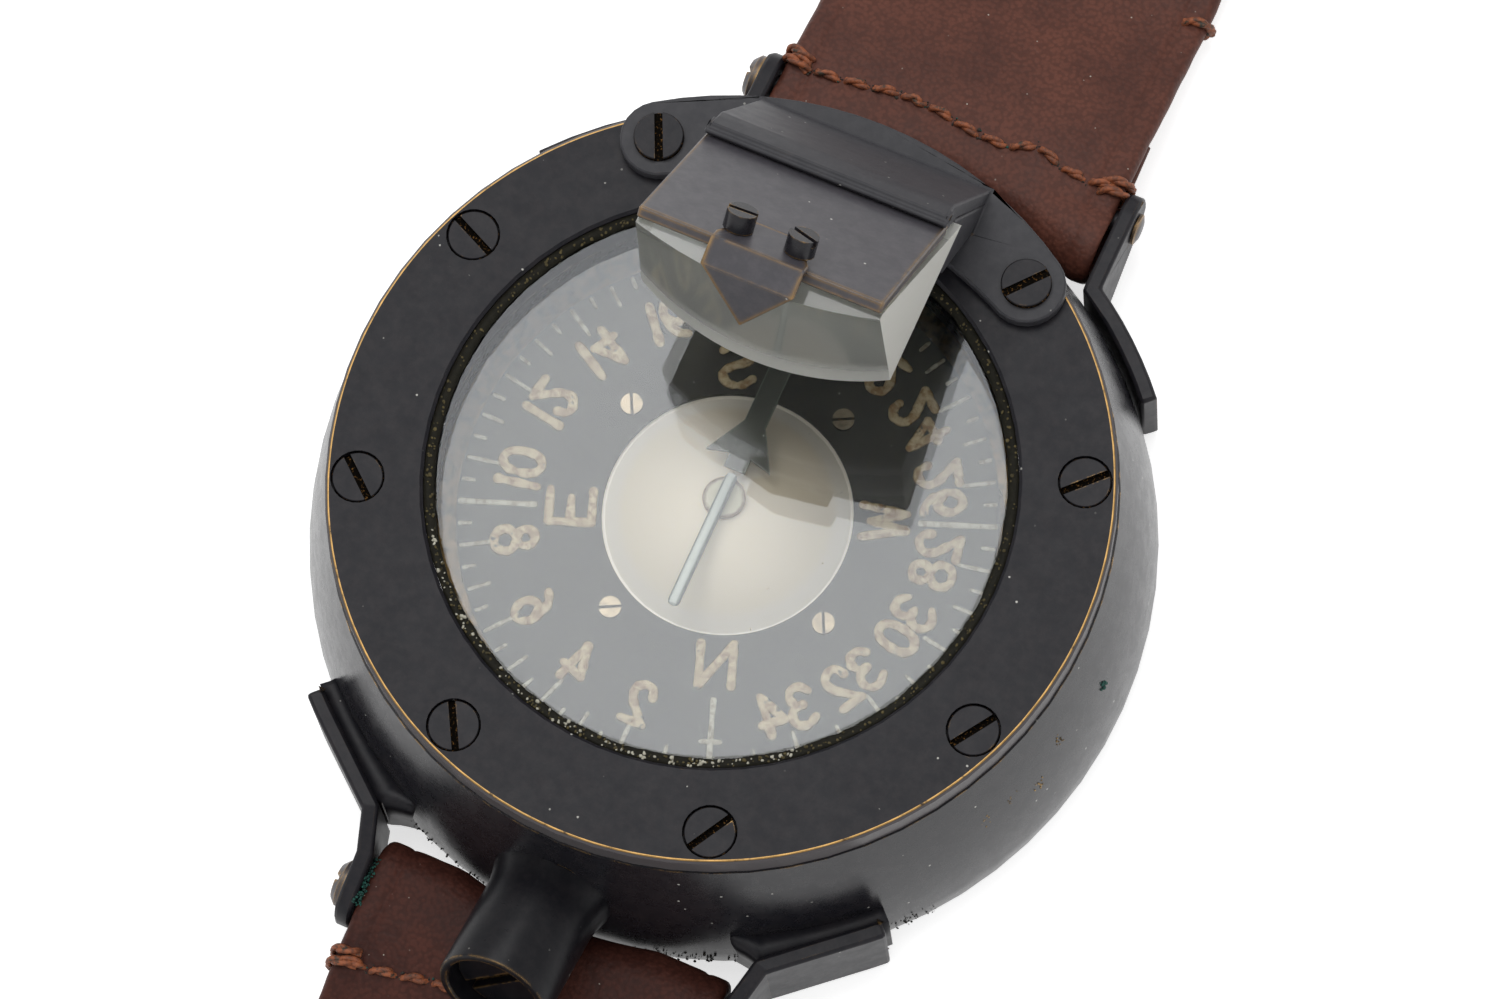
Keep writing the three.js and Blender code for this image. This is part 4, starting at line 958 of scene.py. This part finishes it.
class Strap:
    """One strap half: its run in the (s, z) plane, s outwards from its pin."""

    def __init__(self, pin, way, centre_x, fold, rest_z, loop_r):
        self.pin, self.way, self.x, self.loop_r = pin, way, centre_x, loop_r
        self.fold, self.rest_top = fold, rest_z + STRAP_THICK
        self.fold_r = PIN_HOLE_R + fold

    def top_at(self, s):
        turn = ease(s / STRAP_RUN)
        return (self.pin.z + self.fold_r) * (1 - turn) + self.rest_top * turn

    def place(self, s, z, across=0.0):
        return Vector((self.x + across, self.pin.y + self.way * s, z))

    def surface(self, s, across, lift=0.0):
        return self.place(s, self.top_at(s) + lift, across)

    def bulge(self, point):
        """Pushes a point of the fold out towards the case, as far as the case leaves room."""
        off = Vector((0, point.y - self.pin.y, point.z - self.pin.z))
        towards = max(0.0, -off.y * self.way / max(off.length, 0.001))
        wall = abs(self.pin.y) - math.sqrt(max(0.0, CASE_R ** 2 - point.x ** 2))
        room = min(wall - FOLD_GAP, self.loop_r) - self.fold_r
        return point + off.normalized() * max(0.0, room) * towards ** 2

    def fold_line(self):
        """The flap under the strap and the turn round the pin: (s, z, thickness)."""
        flap_low = self.top_at(FLAP_LONG) - STRAP_THICK - self.fold
        pin_low = self.pin.z - self.fold_r
        line = []
        for k in range(5):
            share = k / 5
            z = flap_low * (1 - share) + pin_low * share + self.fold / 2
            line.append((FLAP_LONG * (1 - share), z, self.fold))
        middle_r = PIN_HOLE_R + self.fold / 2
        for k in range(15):
            turn = -math.pi / 2 - math.pi * k / 14
            line.append((middle_r * math.cos(turn), self.pin.z + middle_r * math.sin(turn), self.fold))
        return line

    def run_line(self, end, step=1.1):
        count = int(end / step)
        line = []
        for k in range(1, count + 1):
            s = end * k / count
            thick = self.fold + (STRAP_THICK - self.fold) * ease(s / 6)
            line.append((s, self.top_at(s) - thick / 2, thick))
        return line

    def stations(self, line, width_at=None):
        """Turns (s, z, thickness) points into stations of a band."""
        made = []
        across = Vector((1, 0, 0))
        for i, (s, z, thick) in enumerate(line):
            before, after = beside(line, i)
            along = Vector((0, (after[0] - before[0]) * self.way, after[1] - before[1])).normalized()
            out = along.cross(across) * -self.way
            half = (width_at(s) if width_at else STRAP_WIDE) / 2
            made.append((self.place(s, z), across, out, half, thick / 2))
        return made


STRAP_X = (low("strap_upper").x + high("strap_upper").x) / 2
LOWER_X = (low("strap_lower").x + high("strap_lower").x) / 2
upper = Strap(UPPER_PIN, 1, STRAP_X, fold=1.2, rest_z=2.2, loop_r=7.4)
lower = Strap(LOWER_PIN, -1, LOWER_X, fold=1.9, rest_z=0.3, loop_r=5.8)


def make_upper_strap():
    bar_s = BUCKLE_BAR.y - UPPER_PIN.y
    bar_fold, hole_r, flap = 1.8, 1.5, 12
    run_end = bar_s - flap - STRAP_THICK
    line = upper.fold_line() + upper.run_line(run_end)
    top = BUCKLE_BAR.z + hole_r + bar_fold
    for k in range(1, 8):
        share = k / 8
        thick = STRAP_THICK + (bar_fold - STRAP_THICK) * share
        z = upper.rest_top + (top - upper.rest_top) * ease(share) - thick / 2
        line.append((run_end + (flap + STRAP_THICK) * share, z, thick))
    middle_r = hole_r + bar_fold / 2
    for k in range(13):
        turn = math.pi / 2 - math.pi * k / 12
        line.append((bar_s + middle_r * math.cos(turn), BUCKLE_BAR.z + middle_r * math.sin(turn), bar_fold))
    for k in range(1, 7):
        share = k / 6
        line.append((bar_s - flap * share, BUCKLE_BAR.z - middle_r + 0.35 * share, bar_fold - 0.4 * share))
    strap = band("upper_strap_leather", upper.stations(line), "red_leather", "upper_strap", bulge=upper.bulge)
    notch = rectangle(-NOTCH_HALF, bar_s - NOTCH_NEAR, NOTCH_HALF, bar_s + NOTCH_FAR)
    corners = [(STRAP_X + a, UPPER_PIN.y + s) for a, s in notch]
    cut_away(strap, [cutter_prism(corners, BUCKLE_BAR.z - 7, BUCKLE_BAR.z + 7)])
    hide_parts("strap_upper")


def make_lower_strap():
    reach = LOWER_PIN.y - low("strap_lower").y
    point, hole_r, hole_gap, first_hole = 17, 1.6, 11, 26
    straight = reach - point

    def width_at(s):
        if s <= straight:
            return STRAP_WIDE
        return STRAP_WIDE * max(0.06, math.sqrt(max(0, 1 - ((s - straight) / point) ** 2)))

    tip = [(straight + point * math.sin(math.pi / 2 * k / 10), lower.rest_top - STRAP_THICK / 2, STRAP_THICK)
           for k in range(1, 11)]
    line = lower.fold_line() + lower.run_line(straight, 1.3) + tip
    stations = lower.stations(line, width_at)
    strap = band("lower_strap_leather", stations, "red_leather_lower", "lower_strap", bulge=lower.bulge)
    cutters = []
    for i in range(7):
        centre = lower.place(straight - first_hole - hole_gap * i, 0)
        corners = [(centre.x + hole_r * math.cos(a), centre.y + hole_r * math.sin(a)) for a in turns(20)]
        cutters.append(cutter_prism(corners, -3, 8))
    cut_away(strap, cutters)
    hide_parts("strap_lower")


def make_keeper(node, body):
    """A closed leather loop round the strap."""
    first, last = low(node), high(node)
    wall, corner = 1.5, 1.6
    middle_y, half_wide = (first.y + last.y) / 2, (last.y - first.y) / 2
    left, right = first.x + wall / 2 + corner, last.x - wall / 2 - corner
    bottom, top = first.z + wall / 2 + corner, last.z - wall / 2 - corner
    stations = []
    for x, z, start in ((right, top, 0), (left, top, 90), (left, bottom, 180), (right, bottom, 270)):
        for k in range(6):
            turn = math.radians(start + 90 * k / 5)
            out = Vector((math.cos(turn), 0, math.sin(turn)))
            centre = Vector((x, middle_y, z)) + out * corner
            stations.append((centre, Vector((0, 1, 0)), out, half_wide, wall / 2))
    loop = band(node + "_leather", stations, "red_leather", body, closed=True)
    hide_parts(node)


make_upper_strap()
make_lower_strap()
make_keeper("keeper_fixed", "upper_strap")
make_keeper("keeper_loose", "loose_keeper")


# Hand stitching in thick waxed thread, two plies twisted together

THREAD_R = 0.3
TWISTS_EACH_MM = 0.25
STITCH_RISE = 0.3


def twisted(shape, path):
    """Two plies round a centre line."""
    line = [Vector(p) for p in smooth_line([tuple(p) for p in path], 7)]
    for ply in (0, math.pi):
        found = []
        run = 0.0
        for i, here in enumerate(line):
            before, after = beside(line, i)
            along = (after - before).normalized()
            side = along.cross(Vector((0, 0, 1)))
            side = side.normalized() if side.length > 0.01 else Vector((1, 0, 0))
            up = side.cross(along)
            turn = 2 * math.pi * TWISTS_EACH_MM * run + ply
            found.append(here + (side * math.cos(turn) + up * math.sin(turn)) * THREAD_R * 0.62)
            run += (after - here).length
        tube(shape, found, THREAD_R, 7)


def stitch_row(name, strap, row, body):
    """Stitches from hole to hole along a line of (across, s) places."""
    shape = bmesh.new()
    lifts = ((0.12, -0.3), (0.28, STITCH_RISE * 0.8), (0.5, STITCH_RISE), (0.72, STITCH_RISE * 0.8),
             (1 - 0.12, -0.3))
    for (a0, s0), (a1, s1) in zip(row, row[1:]):
        points = []
        for share, lift in lifts:
            wobble = dice.uniform(-0.12, 0.12)
            points.append(strap.surface(s0 + (s1 - s0) * share + wobble, a0 + (a1 - a0) * share, lift))
        twisted(shape, points)
    mesh_piece(name, shape, "waxed_thread", body)


def whip(name, strap, side, s_places, body, deep):
    """Thread taken over the edge of the strap, from its top to below."""
    shape = bmesh.new()
    edge = STRAP_WIDE / 2
    path = ((-0.5, edge - 2.4, -0.2), (-0.2, edge - 1.5, 0.45), (0, edge - 0.2, 0.35),
            (0.1, edge + 0.42, -deep * 0.45), (0, edge - 0.2, -deep), (-0.2, edge - 1.6, -deep))
    for s in s_places:
        twisted(shape, [strap.surface(s + along, side * across, lift) for along, across, lift in path])
    mesh_piece(name, shape, "waxed_thread", body)


UPPER_ROW = [(-18.2, 3.3), (-15.4, 2.2), (-12.3, 2.4), (-9.4, 2.8), (-6.4, 3.2), (-3.4, 3.3), (-0.4, 2.8),
             (2.7, 2.3), (5.7, 2.3), (8.4, 3.4), (11.3, 2.5), (14.3, 2.0), (17.6, 2.7)]
LOWER_ROW = [(-18.0, 7.3), (-14.7, 7.2), (-11.6, 6.8), (-8.5, 5.9), (-5.4, 6.1), (-2.2, 6.4), (0.9, 6.2),
             (4.0, 6.5), (7.1, 6.3), (10.2, 6.6), (13.3, 6.3), (16.4, 6.8), (18.0, 6.9)]
stitch_row("upper_stitches", upper, UPPER_ROW, "upper_strap")
stitch_row("lower_stitches", lower, LOWER_ROW, "lower_strap")
whip("upper_whip_left", upper, -1, (2.4, 3.6), "upper_strap", 3.6)
whip("upper_whip_right", upper, 1, (2.0, 3.2, 23.4), "upper_strap", 2.8)
whip("lower_whip_left", lower, -1, (6.6, 7.8), "lower_strap", 4.2)
whip("lower_whip_right", lower, 1, (6.4,), "lower_strap", 4.2)


# Solder run between the case and each lower lug

LUG_THICK = 1.7
LUG_OFF_CASE = 0.9
LUG_STANDOFF = 1.1
LUG_INNER = 18.6
LUG_SPLAY = 1.2
FILL_LOW, FILL_HIGH = 0.9, 9.9
FILL_END, FILL_TAPER = 45.0, 3.6


def lug_fill(side, label):
    """It runs from the lug's far end to past the lug's bend. Angles are in degrees from six o'clock."""
    leg = LUG_THICK * 0.5 + LOWER_X * side + LUG_INNER
    hug_r = CASE_R + LUG_OFF_CASE + LUG_THICK / 2
    bend_r = hug_r + LUG_STANDOFF
    bend = math.degrees(math.asin((leg + LUG_SPLAY) / bend_r))
    leave = bend + math.degrees(math.acos(hug_r / bend_r))
    inner = CASE_R - 0.9
    rings = []
    steps = 26
    for k in range(steps + 1):
        degrees = FILL_END + (bend - FILL_TAPER - FILL_END) * k / steps
        off = max(0.0, leave - degrees)
        outer = hug_r / math.cos(math.radians(min(off, leave - bend))) - LUG_THICK / 2 + 0.15
        past = max(0.0, (bend - degrees) / FILL_TAPER)
        outer = outer * (1 - past ** 0.6) + (CASE_R - 0.3) * past ** 0.6
        sink = 0.35 + 0.25 * noise.noise(Vector((degrees * 0.8, side * 3, 0)))
        turn = math.radians(degrees)
        at = Vector((side * math.sin(turn), -math.cos(turn), 0))
        profile = ((inner, FILL_LOW), (outer, FILL_LOW), (outer, FILL_HIGH - sink * 0.3),
                   ((inner + outer) / 2, FILL_HIGH - sink), (inner, FILL_HIGH - sink * 0.2))
        rings.append([at * r + Vector((0, 0, z)) for r, z in profile])
    shape = bmesh.new()
    bridge(shape, rings)
    mesh_piece("lug_fill_" + label, shape, "bronzed_lug", "case")


# Dirt, bare brass and verdigris: small crumbs that sit on what carries them

GRIT_Z = 3.2
GRIT_RUNS = ((-118, -96, 70, 0.9), (-80, -38, 200, 1.0), (-135, -118, 14, 0.7))
WALL_FOOT, WALL_TALL, WALL_LEAN = 5, 17, 3.5


def grit_spots():
    """Grit along the widest line of the case, thickest on the six o'clock side."""
    for start, end, count, spread in GRIT_RUNS:
        for _ in range(count):
            turn = math.radians(dice.uniform(start, end))
            z = GRIT_Z + dice.uniform(-1.6, 1.9) * spread
            out = CASE_R + dice.uniform(-0.1, 0.08)
            yield polar(out, turn, z), dice.uniform(0.05, 0.16)


def corner_spots():
    """Green corrosion in the corner between the lower left lug and the strap."""
    for _ in range(130):
        s = dice.uniform(-3.0, 2.0)
        z = lower.pin.z + 3.1 + dice.uniform(-0.4, 0.5) - 0.05 * s * s
        yield lower.place(s, z, dice.uniform(-0.3, 0.5) - STRAP_WIDE / 2), dice.uniform(0.07, 0.22)


def wall_spots(specks):
    """Specks on the wall of the case, from (degrees, height, size) places."""
    for degrees, z, size in specks:
        middle = polar(CASE_R, math.radians(degrees), z)
        for _ in range(12):
            at = middle + Vector((dice.gauss(0, 0.3), dice.gauss(0, 0.3), dice.gauss(0, 0.45)))
            wall_r = CASE_R - WALL_LEAN * (max(0.0, at.z - WALL_FOOT) / WALL_TALL) ** 1.5
            flat = Vector((at.x, at.y, 0)).normalized() * (wall_r - 0.05)
            yield Vector((flat.x, flat.y, at.z)), size * dice.uniform(0.3, 0.7)


def stitch_spots(strap, row, each):
    """Dark wax or green bits beside the holes of the stitches."""
    for across, s in row:
        for _ in range(each):
            a, b = dice.gauss(0, 0.45), dice.gauss(0, 0.3)
            size = dice.uniform(0.08, 0.2)
            if abs(across + a) < STRAP_WIDE / 2 - 1:
                yield strap.surface(s + b, across + a, 0.02), size


BRASS_SPECKS = ((-12.75, 16, 0.22), (-18.25, 12.5, 0.25), (-27.75, 15.25, 0.2), (-23.25, 15, 0.16))

lug_fill(-1, "left")
lug_fill(1, "right")
crumbs_piece("case_grit", grit_spots(), "dirt_crumbs")
crumbs_piece("lug_verdigris", corner_spots(), "verdigris_crumbs")
crumbs_piece("wall_green", wall_spots([(-2.25, 14.0, 0.4)]), "verdigris_crumbs")
crumbs_piece("wall_brass", wall_spots(BRASS_SPECKS), "worn_brass")
for half_name, strap_half, holes in (("upper", upper, UPPER_ROW), ("lower", lower, LOWER_ROW)):
    for kind, finish, each in (("crumbs", "dirt_crumbs", 7), ("verdigris", "verdigris_crumbs", 1)):
        spots = stitch_spots(strap_half, holes, each)
        crumbs_piece(f"{half_name}_row_dirt_{kind}", spots, finish, half_name + "_strap")


# Stage and light

WHITE = (1, 1, 1)
FLOOR_HALF = 3000
SOFTBOX_SIZE = 520
SOFTBOX_FAR = 900
SOFTBOX_RADIANCE = 3.2
WORLD_LIGHT = 0.62
FLOOR_GLOW = 0.66


def sees_white(nodes):
    """One for rays from the camera, from metal and through glass."""
    path = nodes.add("ShaderNodeLightPath").outputs
    seen = nodes.larger(path["Is Camera Ray"], path["Is Glossy Ray"])
    return nodes.larger(seen, path["Is Transmission Ray"])


def make_world():
    world = bpy.data.worlds.new("studio")
    bpy.context.scene.world = world
    world.use_nodes = True
    nodes = Nodes(world.node_tree)
    strength = nodes.ramp(sees_white(nodes), 0, 1, WORLD_LIGHT, 1.0)
    glow = nodes.add("ShaderNodeBackground", {"Color": WHITE, "Strength": strength})
    nodes.add("ShaderNodeOutputWorld", {"Surface": glow.outputs[0]})


def make_floor():
    shape = bmesh.new()
    corners = rectangle(-FLOOR_HALF, -FLOOR_HALF, FLOOR_HALF, FLOOR_HALF)
    shape.faces.new([shape.verts.new(Vector((x, y, 0)) * MM) for x, y in corners])
    floor = shape_object("floor", shape)
    paper = Finish("floor_paper")
    paper.feed(Base_Color=(0.86, 0.86, 0.86), Roughness=0.9, Specular_IOR_Level=0.1)
    strength = paper.times(sees_white(paper), FLOOR_GLOW)
    glow = paper.add("ShaderNodeEmission", {"Color": WHITE, "Strength": strength})
    paper.show(paper.add("ShaderNodeAddShader", {0: paper.shader.outputs[0], 1: glow.outputs[0]}))
    floor.data.materials.append(FINISHES["floor_paper"])


def make_softbox():
    """A soft panel overhead, behind the prism, that the glass mirrors to the camera."""
    lamp = bpy.data.lights.new("softbox", "AREA")
    lamp.shape = "SQUARE"
    lamp.size = SOFTBOX_SIZE * MM
    lamp.energy = SOFTBOX_RADIANCE * math.pi * (SOFTBOX_SIZE * MM) ** 2
    holder = new_object("softbox", lamp)
    back = Vector(CAMERA_BACK)
    towards = Vector((-back.x, -back.y, back.z)).normalized()
    holder.location = towards * SOFTBOX_FAR * MM
    holder.rotation_mode = "QUATERNION"
    holder.rotation_quaternion = towards.to_track_quat("Z", "Y")


make_world()
make_floor()
make_softbox()
